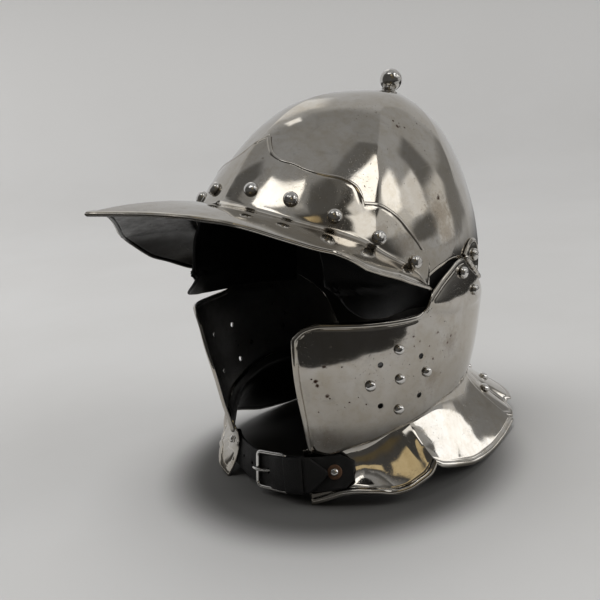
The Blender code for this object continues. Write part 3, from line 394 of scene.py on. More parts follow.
def skirt(theta, shares, tuck=1.0):
    """Points of the flared collar: inside the cheek piece at share 0, at the rim at share 1."""
    low = neck_z(abs(theta))
    top = lifted(cheek, theta, low + TUCK, -(STEEL + LAP))
    turn = lifted(cheek, theta, low, -(STEEL + LAP))
    edge = rim(theta)
    knee = turn + unit(turn - top) * flare_knee(theta) * np.linalg.norm(edge - turn)
    top = turn + (top - turn) * tuck
    points = []
    for share in shares:
        if share < TUCK_SHARE:
            points.append(top + (turn - top) * (share / TUCK_SHARE))
        else:
            t = (share - TUCK_SHARE) / (1 - TUCK_SHARE)
            points.append((1 - t) ** 2 * turn + 2 * t * (1 - t) * knee + t * t * edge)
    return points


def skirt_rivet(theta, share, distance):
    """Foot and direction of a rivet that stands on the flared surface."""
    below, p, above = skirt(theta, (share - 0.03, share, share + 0.03))
    u = skirt(theta + 1.0, (share,))[0] - skirt(theta - 1.0, (share,))[0]
    n = unit(np.cross(u, above - below))
    if np.dot(n, np.array([p[0], p[1], UP_WEIGHT])) < 0:
        n = -n
    return p + n * distance, n


def spread(stops, most):
    """Angles from the first stop to the last through all of them, no step above the limit."""
    angles = [stops[0]]
    for a, b in zip(stops[:-1], stops[1:]):
        n = max(1, math.ceil((b - a) / most))
        angles += [a + (b - a) * k / n for k in range(1, n + 1)]
    return angles


def turn_back(tilt):
    """Turn about the x axis that lifts the front."""
    c, s = math.cos(tilt), math.sin(tilt)
    return np.array([[1.0, 0.0, 0.0], [0.0, c, s], [0.0, -s, c]])


def frame_of(direction):
    """Two axes square to a direction."""
    w = unit(direction)
    side = np.array([0.0, 0.0, 1.0]) if abs(w[2]) < 0.9 else np.array([1.0, 0.0, 0.0])
    u = unit(np.cross(side, w))
    return u, np.cross(w, u), w


def flange_edge(azimuth):
    """Upper edge of the flange: its middle cusp stands a little to the wearer's left."""
    if abs(azimuth) > CUSP_REACH:
        return flange_z(abs(azimuth))
    if azimuth >= CUSP_SHIFT:
        return flange_z((azimuth - CUSP_SHIFT) * CUSP_REACH / (CUSP_REACH - CUSP_SHIFT))
    return flange_z((CUSP_SHIFT - azimuth) * CUSP_REACH / (CUSP_REACH + CUSP_SHIFT))


def brim_point(azimuth, v):
    """Point of the peak's underside, from the fold at v = 0 to the rim at v = 1, lower at the far side."""
    a = abs(azimuth)
    side = 1.0 if azimuth >= 0 else -1.0
    root = lifted(skull, azimuth, fold_z(a) - STEEL, PEAK_CLEAR)
    edge = np.array([side * brim_x(a), brim_y(a), brim_z(a) + BEAD])
    if azimuth < 0:
        edge[2] -= brim_drop(a)
    rise = (BULGE - BULGE_LESS * min(a / BULGE_AZ, 1.0)) * 4 * v * (1 - v)
    p = root + (edge - root) * v
    p[2] += rise
    return p


def cheek_place(azimuth, z, side, distance):
    """Foot and direction of a rivet that stands on a cheek piece."""
    n = normal(cheek, azimuth, z)
    p = cheek(azimuth, z) + n * distance
    return p * np.array([side, 1, 1]), n * np.array([side, 1, 1])


# Places of the hearing holes and of the rivets
HEARING_HOLES = table("az z", (59.8, -121.0), (77.5, -117.7), (60.7, -151.4), (79.3, -147.0))
CROSS_RIVETS = table(
    "az z",
    (67.3, -111.1), (55.9, -135.9), (68.4, -132.6), (81.3, -130.0), (69.5, -155.6),
)
EAR_RIVETS = ((98.3, -62.5), (107.9, -76.9))
BROW_RIVETS = table("az z", (11.5, -4.9), (29.7, -11.2), (47.0, -21.7), (62.4, -35.4), (75.8, -52.0))


def hinge_point(along, up, distance, side):
    """Point of the hinge plan: along the hinge line, up from it, and out from the skull."""
    tilt = math.atan(HINGE_SLOPE / HINGE_ARC)
    dx = along * math.cos(tilt) - up * math.sin(tilt)
    dz = along * math.sin(tilt) + up * math.cos(tilt)
    az = HINGE_AZ + dx / HINGE_ARC
    p = lifted(skull, az, HINGE_Z + dz, distance)
    return p * np.array([side, 1, 1])


def apex_drop(x, y):
    """Height of the skull above a point near its apex."""
    low, high = APEX_Z - 30.0, APEX_Z
    az = math.degrees(math.atan2(x, -(y - APEX_Y)))
    r = math.hypot(x, y - APEX_Y)
    for _ in range(30):
        z = (low + high) / 2
        p = skull(az, z)
        if math.hypot(p[0], p[1] - APEX_Y) > r:
            low = z
        else:
            high = z
    return z


# Chin strap: its middle line by x, and how far its face leans up
STRAP_PATH = table(
    "x y z lean",
    (-53, -60.4, -200.3, 12), (-47.5, -63.8, -201.3, 10), (-43, -66.0, -202.2, 7),
    (-37.5, -68.9, -203.2, 3), (-30, -72.2, -204.2, 0), (-22, -75.4, -205.1, 0), (-12, -78.3, -206.0, 0),
    (-2, -80.2, -206.4, 0), (8, -81.2, -206.2, 0), (18, -81.6, -205.4, 0), (28, -81.2, -204.2, 0),
    (34, -80.2, -203.3, 1), (39, -78.6, -202.6, 4), (43, -77.2, -202.0, 8), (46.8, -75.3, -201.5, 12),
    (50.6, -72.9, -201.0, 17), (55.7, -69.9, -199.8, 23), (60.5, -66.7, -198.6, 25),
    (65.5, -62.7, -197.2, 26), (68.5, -60.1, -196.4, 26),
)
strap_y = smooth(STRAP_PATH["x"], STRAP_PATH["y"])
strap_z = smooth(STRAP_PATH["x"], STRAP_PATH["z"])
strap_lean = smooth(STRAP_PATH["x"], STRAP_PATH["lean"])
# Buckle: places of its bars across the throat, half its height, step between the strap's layers, prong
BUCKLE_LEFT, BUCKLE_RIGHT = -3.2, 24.6
BUCKLE_HALF = STRAP_WIDTH / 2 + 0.4 + BUCKLE_WIRE_R
LAYER = LEATHER / 2 + GAP + BUCKLE_WIRE_R
PRONG_R = 0.95
BEND_CLEAR = 0.7


def strap_at(x, out=0.0, up=0.0):
    """Point, width direction and face direction of the strap at a place across the throat."""
    p = np.array([x, strap_y(x), strap_z(x)])
    ahead = np.array([1.0, strap_y(x + 0.5) - strap_y(x - 0.5), strap_z(x + 0.5) - strap_z(x - 0.5)])
    ahead = unit(ahead)
    rise = unit(np.array([0.0, 0.0, 1.0]) - ahead * ahead[2])
    face = np.cross(ahead, rise)
    if face[1] > 0:
        face = -face
    lean = math.radians(strap_lean(x))
    tipped = face * math.cos(lean) + rise * math.sin(lean)
    rise = rise * math.cos(lean) - face * math.sin(lean)
    return p + tipped * out + rise * up, rise, tipped


def ramp(x):
    """How far the tongue of the strap stands over the buckle's hidden bar and the chape."""
    t = min(max((x - 1.0) / 21.0, 0.0), 1.0)
    bend = min(max((x - 37.0) / 4.0, 0.0), 1.0)
    return LAYER * t * t * (3 - 2 * t) + BEND_CLEAR * bend


# Tilt, shift and lift that stand the worn helmet on its collar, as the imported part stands
REST_TILT = math.radians(9.380804336)
REST_LIFT = 208.8672573
REST_SHIFT = 48.9
REST_TURN = turn_back(REST_TILT)


def rest(points):
    """Turn points of the worn frame into the resting frame, in metres."""
    p = np.asarray(points, float) @ REST_TURN.T
    return (p + np.array([0.0, REST_SHIFT, REST_LIFT])) * MM


# Mesh tools
def publish(name, points, faces, looks, slots=None, angle=38.0, in_rest=False):
    """Mesh object in the scene from points of the worn frame, or of the resting frame if in_rest is set."""
    placed = np.asarray(points, float) if in_rest else rest(points)
    mesh = bpy.data.meshes.new(name)
    mesh.from_pydata(placed.tolist(), [], [tuple(f) for f in faces])
    if slots is not None:
        mesh.polygons.foreach_set("material_index", slots)
    build = bmesh.new()
    build.from_mesh(mesh)
    bmesh.ops.remove_doubles(build, verts=build.verts, dist=0.000012)
    bmesh.ops.dissolve_degenerate(build, edges=build.edges, dist=0.000004)
    bmesh.ops.recalc_face_normals(build, faces=build.faces)
    build.to_mesh(mesh)
    build.free()
    for look in looks:
        mesh.materials.append(look)
    mesh.shade_smooth()
    mesh.set_sharp_from_angle(angle=math.radians(angle))
    made = bpy.data.objects.new(name, mesh)
    bpy.context.scene.collection.objects.link(made)
    return made


def dress(made, slot, *nodes):
    """Tie a fine piece to the body and hide the nodes that it stands for. The slot is not used."""
    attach(made, "root")
    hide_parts(*nodes)
    return made


def wave(grid, size, reach, seed):
    """Slow unevenness of hand-beaten plate, as a height for each point of a grid."""
    flat = grid.reshape(-1, 3)
    out = np.empty(len(flat))
    for k, p in enumerate(flat):
        out[k] = noise.noise(Vector((p[0] / size + seed, p[1] / size - seed, p[2] / size)))
    return (out * reach).reshape(grid.shape[:2])


def normals_of(grid, inside):
    """Outward normals of a grid around the inside point, or those that face out and up without one."""
    u = np.gradient(grid, axis=0)
    v = np.gradient(grid, axis=1)
    n = np.cross(u, v)
    size = np.linalg.norm(n, axis=2, keepdims=True)
    bad = size[:, :, 0] < 1e-9
    n = n / np.maximum(size, 1e-9)
    if inside is None:
        away = grid * np.array([1.0, 1.0, 0.0]) + np.array([0.0, 0.0, UP_WEIGHT])
    else:
        away = grid - np.asarray(inside, float)
    turned_in = (n * away).sum(2) < 0
    n[turned_in] *= -1
    if bad.any():
        n[bad] = np.array([0.0, 0.0, 1.0])
    return n


def near_line(grid, line):
    """Distance from each point of a grid to a line of points."""
    flat = grid.reshape(-1, 3)
    best = np.full(len(flat), 1e9)
    for a, b in zip(line[:-1], line[1:]):
        d = b - a
        t = np.clip(((flat - a) @ d) / max(d @ d, 1e-12), 0.0, 1.0)
        gap = flat - a - t[:, None] * d
        best = np.minimum(best, np.sqrt((gap * gap).sum(1)))
    return best.reshape(grid.shape[:2])


def bead(distance, width, height, groove=0.0):
    """Height of a rolled edge at a distance from the edge, with a groove along its inner side."""
    t = np.clip(1.0 - np.abs(distance / (width * 0.5) - 1.0), 0.0, 1.0)
    round_top = np.sqrt(np.maximum(1.0 - (1.0 - t) ** 2, 0.0)) * height
    line = np.exp(-((distance - width * 1.12) / (width * 0.16)) ** 2) * groove
    return round_top - line


def plate(name, outer, inner, looks, closed=False, pole=False, arc=3, angle=38.0):
    """Closed plate between two grids with rounded edges. The second look covers its inner face."""
    outer, inner = np.asarray(outer, float), np.asarray(inner, float)
    nu, nv = outer.shape[0], outer.shape[1]
    turns = [math.pi * k / (arc + 1) for k in range(1, arc + 1)]

    def round_edge(a, b, before):
        middle, half = (a + b) / 2, (a - b) / 2
        away = middle - before
        away = away / np.maximum(np.linalg.norm(away, axis=1, keepdims=True), 1e-9)
        size = np.linalg.norm(half, axis=1, keepdims=True)
        return [middle + half * math.cos(t) + away * size * math.sin(t) for t in turns]

    loops = [outer[:, j] for j in range(nv)]
    mid = [(outer[:, j] + inner[:, j]) / 2 for j in range(nv)]
    middles = list(mid)
    inside = [0] * nv
    loops += round_edge(outer[:, -1], inner[:, -1], (outer[:, -2] + inner[:, -2]) / 2)
    middles += [mid[-1]] * arc
    inside += [0] * arc
    loops += [inner[:, j] for j in range(nv - 1, -1, -1)]
    middles += [mid[j] for j in range(nv - 1, -1, -1)]
    inside += [1] * nv
    if not pole:
        loops += round_edge(inner[:, 0], outer[:, 0], (outer[:, 1] + inner[:, 1]) / 2)
        middles += [mid[0]] * arc
        inside += [0] * arc
    net = np.stack(loops, 1)
    middles = np.stack(middles, 1)
    rows = net
    if not closed:
        size = np.linalg.norm(net - middles, axis=2, keepdims=True)
        caps = []
        for first, second in ((0, 1), (-1, -2)):
            away = middles[first] - middles[second]
            away = away / np.maximum(np.linalg.norm(away, axis=1, keepdims=True), 1e-9)
            thick = np.full((len(away), 1), np.median(size[first]))
            out = net[first] - middles[first]
            bends = (math.pi / 2, math.pi / 3, math.pi / 6)
            caps.append([middles[first] + out * math.cos(t) + away * thick * math.sin(t) for t in bends])
        rows = np.concatenate([np.array(caps[0]), net, np.array(caps[1][::-1])])
    m = rows.shape[1]
    count = rows.shape[0]
    faces, slots = [], []
    for i in range(count if closed else count - 1):
        n = (i + 1) % count
        for j in range(m - 1 if pole else m):
            k = (j + 1) % m
            faces.append((i * m + j, n * m + j, n * m + k, i * m + k))
            slots.append(inside[j] if inside[j] == inside[k] else 0)
    if len(looks) < 2:
        slots = None
    return publish(name, rows.reshape(-1, 3), faces, looks, slots, angle)


def skin(bottom, rings, top):
    """Points and faces of a closed body through rings of points, with one point at either end."""
    sides = len(rings[0])
    points = [bottom] + [p for ring in rings for p in ring] + [top]
    faces = []
    for k in range(sides):
        n = (k + 1) % sides
        faces.append((0, 1 + n, 1 + k))
        for j in range(len(rings) - 1):
            a = 1 + j * sides
            faces.append((a + k, a + n, a + sides + n, a + sides + k))
        a = 1 + (len(rings) - 1) * sides
        faces.append((a + k, a + n, len(points) - 1))
    return points, faces


def spin(foot, direction, profile, sides):
    """Points and faces of a round body about an axis. The profile starts and ends on the axis."""
    u, v, w = frame_of(np.asarray(direction, float))
    angles = [2 * math.pi * k / sides for k in range(sides)]
    ways = [u * math.cos(a) + v * math.sin(a) for a in angles]
    rings = [[foot + w * h + way * r for way in ways] for r, h in profile[1:-1]]
    return skin(foot + w * profile[0][1], rings, foot + w * profile[-1][1])


def head_profile(radius, height, flat=0.0):
    """Profile of a domed rivet head with a small lip at its foot."""
    rise = radius * height
    profile = [(0.0, 0.0), (radius * 0.95, 0.0), (radius, rise * 0.08), (radius * 0.995, rise * 0.17)]
    for k in range(1, 10):
        a = k / 10 * math.pi / 2
        high = rise * (0.17 + 0.83 * math.sin(a)) - flat * max(0.0, k - 6) * 0.1
        profile.append((radius * math.cos(a) ** 0.86, high))
    profile.append((0.0, rise - flat * 0.4))
    return profile


def numbered(word, count):
    """Node names that end in 1 to the count."""
    return [f"{word}_{k}" for k in range(1, count + 1)]


def rivets(name, places, radius, height, nodes, seed, sides=26):
    """One piece that holds all the rivet heads of a kind, each a little different."""
    points, faces = [], []
    draw = np.random.default_rng(seed)
    for foot, direction in places:
        lean = unit(np.asarray(direction) + draw.normal(0.0, 0.035, 3))
        size = radius * (1.0 + draw.uniform(-0.04, 0.02))
        p, f = spin(np.asarray(foot), lean, head_profile(size, height, draw.uniform(0.0, 0.35)), sides)
        p = np.array(p)
        bump = np.array([noise.noise(Vector((q[0] / 4.0, q[1] / 4.0, q[2] / 4.0 + seed))) for q in p])
        rise = np.clip(((p - foot) @ lean) / (size * height), 0.0, 1.0)
        p = p - lean[None, :] * (np.abs(bump) * rise * 0.22)[:, None]
        base = len(points)
        points += list(p)
        faces += [tuple(base + k for k in face) for face in f]
    dress(publish(name, points, faces, [RIVET_LOOK], angle=50.0), "bright_steel", *nodes)


def wire(name, path, radius, look, closed=False, sides=16):
    """Round wire along a path, with rounded ends."""
    path = np.asarray(path, float)
    n = len(path)
    points, faces, rings = [], [], []
    hint = None
    for k in range(n):
        if closed:
            ahead = path[(k + 1) % n] - path[k - 1]
        else:
            ahead = path[min(k + 1, n - 1)] - path[max(k - 1, 0)]
        w = unit(ahead)
        if hint is None:
            hint = frame_of(w)[0]
        u = unit(hint - w * np.dot(hint, w))
        hint = u
        rings.append((path[k], u, np.cross(w, u), w, 1.0))
    if not closed:
        first, last = rings[0], rings[-1]
        bends = (0.6, 1.1, 1.5)
        for a in bends:
            rings.insert(0, (first[0] - first[3] * radius * math.sin(a), *first[1:4], math.cos(a)))
            rings.append((last[0] + last[3] * radius * math.sin(a), *last[1:4], math.cos(a)))
    for p, u, v, w, share in rings:
        for s in range(sides):
            a = 2 * math.pi * s / sides
            points.append(p + (u * math.cos(a) + v * math.sin(a)) * radius * share)
    count = len(rings)
    for k in range(count if closed else count - 1):
        a, b = sides * k, sides * ((k + 1) % count)
        for s in range(sides):
            e = (s + 1) % sides
            faces.append((a + s, a + e, b + e, b + s))
    if not closed:
        faces.append(tuple(reversed(range(sides))))
        a = sides * (count - 1)
        faces.append(tuple(a + s for s in range(sides)))
    return publish(name, points, faces, [look], angle=60.0)


def cut_out(made, tools):
    """Cut the tools' shapes out of a piece and drop the tools."""
    for k, tool in enumerate(tools):
        cut = made.modifiers.new(f"cut_{k}", "BOOLEAN")
        cut.object = tool
        cut.operation = "DIFFERENCE"
        cut.solver = "EXACT"
    graph = bpy.context.evaluated_depsgraph_get()
    fresh = bpy.data.meshes.new_from_object(made.evaluated_get(graph))
    made.modifiers.clear()
    made.data = fresh
    for tool in tools:
        bpy.data.objects.remove(tool, do_unlink=True)
    return made


# Plate pieces

# Distances from a rim at which a plate's rows lie, close together over the rolled edge
RIM_STEPS = (0.0, 0.25, 0.55, 0.9, 1.3, 1.7, 2.05, 2.35, 2.6, 2.85, 3.1, 3.45, 4.0, 5.0, 6.5, 8.5)
# Shares of the way down the flange at which its rows lie
FLANGE_ROWS = tuple(0.93 * k for k in (
    0.0, 0.008, 0.018, 0.03, 0.043, 0.056, 0.068, 0.08, 0.1, 0.14, 0.2, 0.27,
    0.34, 0.41, 0.48, 0.55, 0.61, 0.67, 0.73, 0.79, 0.85, 0.9, 0.95, 1.0,
))
# Point inside the skull from which its normals face away
SKULL_MIDDLE = (0.0, 30.0, -20.0)
# Unevenness of beaten plate: wave length, height and seed
BEATEN = ((30.0, 0.24, 3.1), (11.0, 0.05, 7.7))
# Ellipse angles at which the far collar is pulled in, and how far
FAR_PULL = ((30.0, 44.0, 66.0, 78.0), (0.0, 10.0, 9.0, 0.0))
# Rows of the collar's front edge that stand behind the cheek piece and aren't rolled
TUCKED_ROWS = 14
# Gap from a plate to the foot of the rivet heads that stand on it
SUNK = 0.2


def beaten(grid, gain=1.0):
    """Height of the plate's unevenness at each point of a grid."""
    return sum(wave(grid, size, reach * gain, seed) for size, reach, seed in BEATEN)


def both_sides(half):
    """The same azimuths on the far side, then those of the near side."""
    return [-a for a in reversed(half[1:])] + half


# Azimuths at which a plate has a row of points, with others between them. The guard has ellipse angles
SKULL_STOPS = (
    0.0, 31.0, 62.0, 80.5, 89.0, 101.0, 102.0, 103.0, 103.5, 119.0, 126.0, 134.0, 142.0, 161.0, 180.0,
)
PEAK_STOPS = (0.0, CUSP_SHIFT, 11.0, 20.0, 28.0, 35.0, 43.0, 52.0, 57.0, 61.0, 66.0, 71.0, 76.0, 79.5, 82.0)
GUARD_STOPS = (GUARD_START, 128.0, 133.0, 137.0, 140.0, 146.0, 155.0, 167.0, 180.0)
LINING_STOPS = (0.0, 30.0, 40.0, 44.0, 46.5, 50.0, 53.5, 58.0, 65.0, 76.0, 88.0, 100.0, 112.0)


def skull_piece():
    """Panelled bowl with its keel and raised ridges."""
    half = spread(SKULL_STOPS, 1.5)
    azimuths = half[:-1] + [180.0] + [-a for a in reversed(half[1:-1])]
    rows = np.concatenate([[0.0], np.linspace(0.05, 1.0, 80)])
    outer = []
    for az in azimuths:
        low = skull_rim_z(abs(az))
        col = [np.array([0.0, APEX_Y, APEX_Z])]
        col += [skull(az, APEX_Z - (APEX_Z - low) * share ** 1.7) for share in rows[1:]]
        outer.append(col)
    outer = np.array(outer)
    ring = np.concatenate([outer[-2:], outer, outer[:2]])
    n = normals_of(ring, SKULL_MIDDLE)[2:-2]
    n[:, 0] = (0.0, 0.0, 1.0)
    outer = outer + n * beaten(outer)[:, :, None]
    outer[:, 0] = outer[:, 0].mean(0)
    inner = outer - n * STEEL
    made = plate("skull_plate", outer, inner, [STEEL_LOOK, INSIDE_LOOK], closed=True, pole=True, angle=30.0)
    dress(made, "polished_steel", "skull")


def peak_piece():
    """Peak with its rolled rim and the flange that is riveted to the brow."""
    half = spread(PEAK_STOPS, 0.95)
    azimuths = both_sides(half)
    under = []
    for az in azimuths:
        a = abs(az)
        top, low = flange_edge(az), fold_z(a)
        col = [lifted(skull, az, top + (low - top) * t, PEAK_CLEAR) for t in FLANGE_ROWS]
        root, rim_end = brim_point(az, 0.0), brim_point(az, 1.0)
        length = max(np.linalg.norm(rim_end - root), 9.5)
        far = [1.0 - step / length for step in RIM_STEPS]
        start = 0.07
        inner_rows = list(np.linspace(start, far[-1], 17)[:-1]) if far[-1] > start else []
        first = brim_point(az, start)
        corner = lifted(skull, az, low - 0.2, PEAK_CLEAR)
        bottom = col[-1]
        for t in (0.2, 0.4, 0.6, 0.8):
            col.append((1 - t) ** 2 * bottom + 2 * t * (1 - t) * corner + t * t * first)
        if not inner_rows:
            inner_rows = [start] * 16
        col += [brim_point(az, v) for v in inner_rows]
        col += [brim_point(az, max(v, start)) for v in reversed(far)]
        under.append(col)
    under = np.array(under)
    n = normals_of(under, (0.0, 20.0, -120.0))
    roll = bead(near_line(under, under[:, -1]), BEAD_WIDTH, 1.0, 0.3)
    lip = bead(near_line(under, under[:, 0]), 2.2, 0.28, 0.14)
    lift = beaten(under)
    outer = under + n * (STEEL + lift + lip + roll * 0.75)[:, :, None]
    inner = under + n * (lift - roll * 0.8)[:, :, None]
    made = plate("peak_plate", outer, inner, [STEEL_LOOK, UNDER_LOOK], angle=40.0)
    dress(made, "polished_steel", "peak")


# Share along the cheek piece at which the ear is highest, and where the rolled edge ends
EAR_TOP = 0.655
# Height of the crease along the ear's foot
EAR_LINE = table(
    "az z",
    (76, -83.8), (78.2, -84.5), (86.4, -87.5), (94.7, -89.5), (106.1, -88.1), (118, -86.5),
)
ear_line = cusped(EAR_LINE, "az", "z")
# Azimuths between which the ear stands proud
EAR_FRONT, EAR_BACK = 73.0, 126.0


def ear_step(az, z):
    """Height of the ear above the rest of the cheek piece, with a crease along its foot."""
    if az < EAR_FRONT or az > EAR_BACK:
        return 0.0
    fade = min(1.0, (az - EAR_FRONT) / 8.0) * min(1.0, (EAR_BACK - az) / 14.0)
    d = z - ear_line(az)
    step = 1.5 / (1.0 + math.exp(-d / 0.8)) * math.exp(-max(d, 0.0) / 16.0)
    dip = -0.5 * math.exp(-((d + 2.2) / 2.2) ** 2)
    return (step + dip) * fade


def cheek_piece(word, side):
    """Cheek plate with a rolled edge, a raised ear and four hearing holes."""
    near = [step / CHEEK_LENGTH for step in RIM_STEPS]
    us = np.concatenate([near, np.linspace(near[-1], 1.0, 118)[1:]])
    base, lift = [], []
    for u in us:
        low = neck_z(CHEEK_FRONT_AZ + (CHEEK_REAR_AZ - CHEEK_FRONT_AZ) * u)
        span = cheek_top_z(u) - low
        vs = list(np.linspace(0.0, 1.0 - RIM_STEPS[-1] / span, 40)[:-1])
        vs += [1.0 - step / span for step in reversed(RIM_STEPS)]
        col, rise = [], []
        for v in vs:
            z = low + span * v
            front = cheek_front_az(min(max(z - CHEEK_FOOT, 0.0), 104.0))
            az = front + (CHEEK_REAR_AZ - front) * u
            col.append(cheek(az, z))
            rise.append(ear_step(az, z))
        base.append(col)
        lift.append(rise)
    base, lift = np.array(base), np.array(lift)
    n = normals_of(base, (0.0, 0.0, -120.0))
    keep = int(np.searchsorted(us, EAR_TOP))
    edge = np.concatenate([base[0], base[1:keep, -1]])
    roll = bead(near_line(base, edge), 3.5, 1.0, 0.45)
    fade = np.clip((0.70 - us) / 0.06, 0.0, 1.0) * (1.0 - 0.88 * np.clip((us - 0.42) / 0.03, 0.0, 1.0))
    roll = roll * fade[:, None]
    base[:, :, 0] *= side
    n[:, :, 0] *= side
    lift = lift + beaten(base)
    outer = base + n * (lift + roll * 1.15)[:, :, None]
    inner = base + n * (np.minimum(lift, 0.2) - STEEL - roll * 0.4)[:, :, None]
    made = plate(f"cheek_plate_{word}", outer, inner, [STEEL_LOOK, INSIDE_LOOK], angle=36.0)
    tools = []
    for k, (az, z) in enumerate(zip(HEARING_HOLES["az"], HEARING_HOLES["z"])):
        foot, out = cheek_place(az, z, side, -6.0)
        points, faces = spin(foot, out, [(0, 0), (HOLE_R, 0), (HOLE_R, 12), (0, 12)], 28)
        tools.append(publish(f"hole_{word}_{k}", points, faces, [INSIDE_LOOK]))
    cut_out(made, tools)
    made.data.shade_smooth()
    made.data.set_sharp_from_angle(angle=math.radians(36.0))
    dress(made, "polished_steel", f"cheek_{word}")


def flared(thetas, ends):
    """Grid of the flared surface, close-set towards the rim."""
    base = []
    for th, end in zip(thetas, ends):
        first, last = skirt(th, (0.0, 1.0))
        far = [end - step / np.linalg.norm(last - first) for step in RIM_STEPS]
        shares = list(np.linspace(0.0, far[-1], 26)[:-1]) + list(reversed(far))
        tuck = min(max((abs(th) - 26.2) / 2.5, 0.04), 1.0)
        base.append(skirt(th, shares, tuck))
    base = np.array(base)
    return base, normals_of(base, None)


def collar_piece(word, side):
    """Flared neck guard with a rolled wavy rim. The far one is pulled in a little."""
    thetas = spread(COLLAR_STOPS, 0.9)
    base, n = flared(thetas, [1.0] * len(thetas))
    edge = np.concatenate([base[0, TUCKED_ROWS:], base[1:, -1]])
    roll = bead(near_line(base, edge), 3.7, 1.0, 0.3)
    if side < 0:
        angle = np.array(thetas)
        pull = np.interp(angle, *FAR_PULL)
        down = np.clip((np.arange(base.shape[1]) - 4) / (base.shape[1] - 12), 0.0, 1.0)
        base[:, :, 0] -= pull[:, None] * down[None, :]
    base[:, :, 0] *= side
    n[:, :, 0] *= side
    lift = beaten(base, 1.3)
    outer = base + n * (lift + roll * 0.9)[:, :, None]
    inner = base + n * (lift - STEEL - roll * 0.3)[:, :, None]
    made = plate(f"collar_plate_{word}", outer, inner, [STEEL_LOOK, UNDER_LOOK], angle=36.0)
    dress(made, "polished_steel", f"collar_{word}")


# Rivets of the rear guard: ellipse angle and share of the way down the flare
GUARD_RIVETS = (
    (134.0, 0.72), (149.0, 0.76), (166.0, 0.84), (180.0, 0.84), (-166.0, 0.84), (-149.0, 0.76),
    (-134.0, 0.72),
)


def guard_piece():
    """Flared plate at the nape with its rivets."""
    half = spread(GUARD_STOPS, 0.9)
    thetas = half + [360.0 - a for a in reversed(half[:-1])]
    fold = [a if a <= 180.0 else a - 360.0 for a in thetas]
    ends = [0.94 + 0.06 * min(max((abs(th) - COLLAR_END - 0.5) / 2.0, 0.0), 1.0) for th in fold]
    base, n = flared(fold, ends)
    roll = bead(near_line(base, base[:, -1]), 4.0, 1.0, 0.3)
    lift = beaten(base)
    outer = base + n * (lift + roll * 0.45 - GUARD_SINK)[:, :, None]
    inner = base + n * (lift - roll * 0.4 - GUARD_SINK - STEEL)[:, :, None]
    made = plate("guard_plate", outer, inner, [STEEL_LOOK, UNDER_LOOK], angle=36.0)
    dress(made, "polished_steel", "rear_neck_guard")
    places = [skirt_rivet(th, share, SUNK - GUARD_SINK) for th, share in GUARD_RIVETS]
    rivets("guard_rivets", places, GUARD_R, 0.86, numbered("guard_rivet", 7), 5)


def lining_piece():
    """Leather band inside the brow and temples."""
    half = spread(LINING_STOPS, 1.0)
    azimuths = both_sides(half)
    mid, curl = [], []
    for az in azimuths:
        a = abs(az)
        low = lining_z(a)
        top = max(low + 14.0, 20.0 - 0.62 * a)
        zs = [top + (low - top) * t for t in np.linspace(0.0, 1.0, 30)]
        mid.append([skull(az, z) for z in zs])
        curl.append([tab_curl(a) * min(max((TAB_TOP - z) / TAB_DROP, 0.0), 1.2) ** 1.6 for z in zs])
    mid, curl = np.array(mid), np.array(curl)
    n = normals_of(mid, SKULL_MIDDLE)
    place = mid + n * (curl - STEEL - LINING_CLEAR - LEATHER / 2)[:, :, None]
    out = normals_of(place, SKULL_MIDDLE)
    lift = wave(place, 9.0, 0.25, 2.2)
    outer = place + out * (LEATHER / 2 + lift * 0.4)[:, :, None]
    inner = place + out * (lift - LEATHER / 2)[:, :, None]
    dress(plate("lining_band", outer, inner, [LEATHER_LOOK], angle=60.0), "black_leather", "lining")


def brow_rivets_piece():
    """Ten domed rivets of the flange."""
    places = [(-a, z) for a, z in zip(BROW_RIVETS["az"], BROW_RIVETS["z"])][::-1]
    places += list(zip(BROW_RIVETS["az"], BROW_RIVETS["z"]))
    spots = [(lifted(skull, az, z, PEAK_CLEAR + STEEL + 0.15), normal(skull, az, z)) for az, z in places]
    rivets("brow_rivets", spots, BROW_R, 0.86, numbered("brow_rivet", 10), 1, 30)


def cheek_rivets_piece(word, side):
    """Five rivets in a cross round the holes, and two on the ear."""
    spots = [cheek_place(az, z, side, 0.15) for az, z in zip(CROSS_RIVETS["az"], CROSS_RIVETS["z"])]
    rivets(f"cheek_rivets_{word}", spots, CHEEK_R, 0.84, numbered(f"cheek_{word}_rivet", 5), 11)
    ears = [cheek_place(az, z, side, 0.9) for az, z in EAR_RIVETS]
    rivets(f"ear_rivets_{word}", ears, EAR_R, 0.84, numbered(f"ear_rivet_{word}", 2), 17)


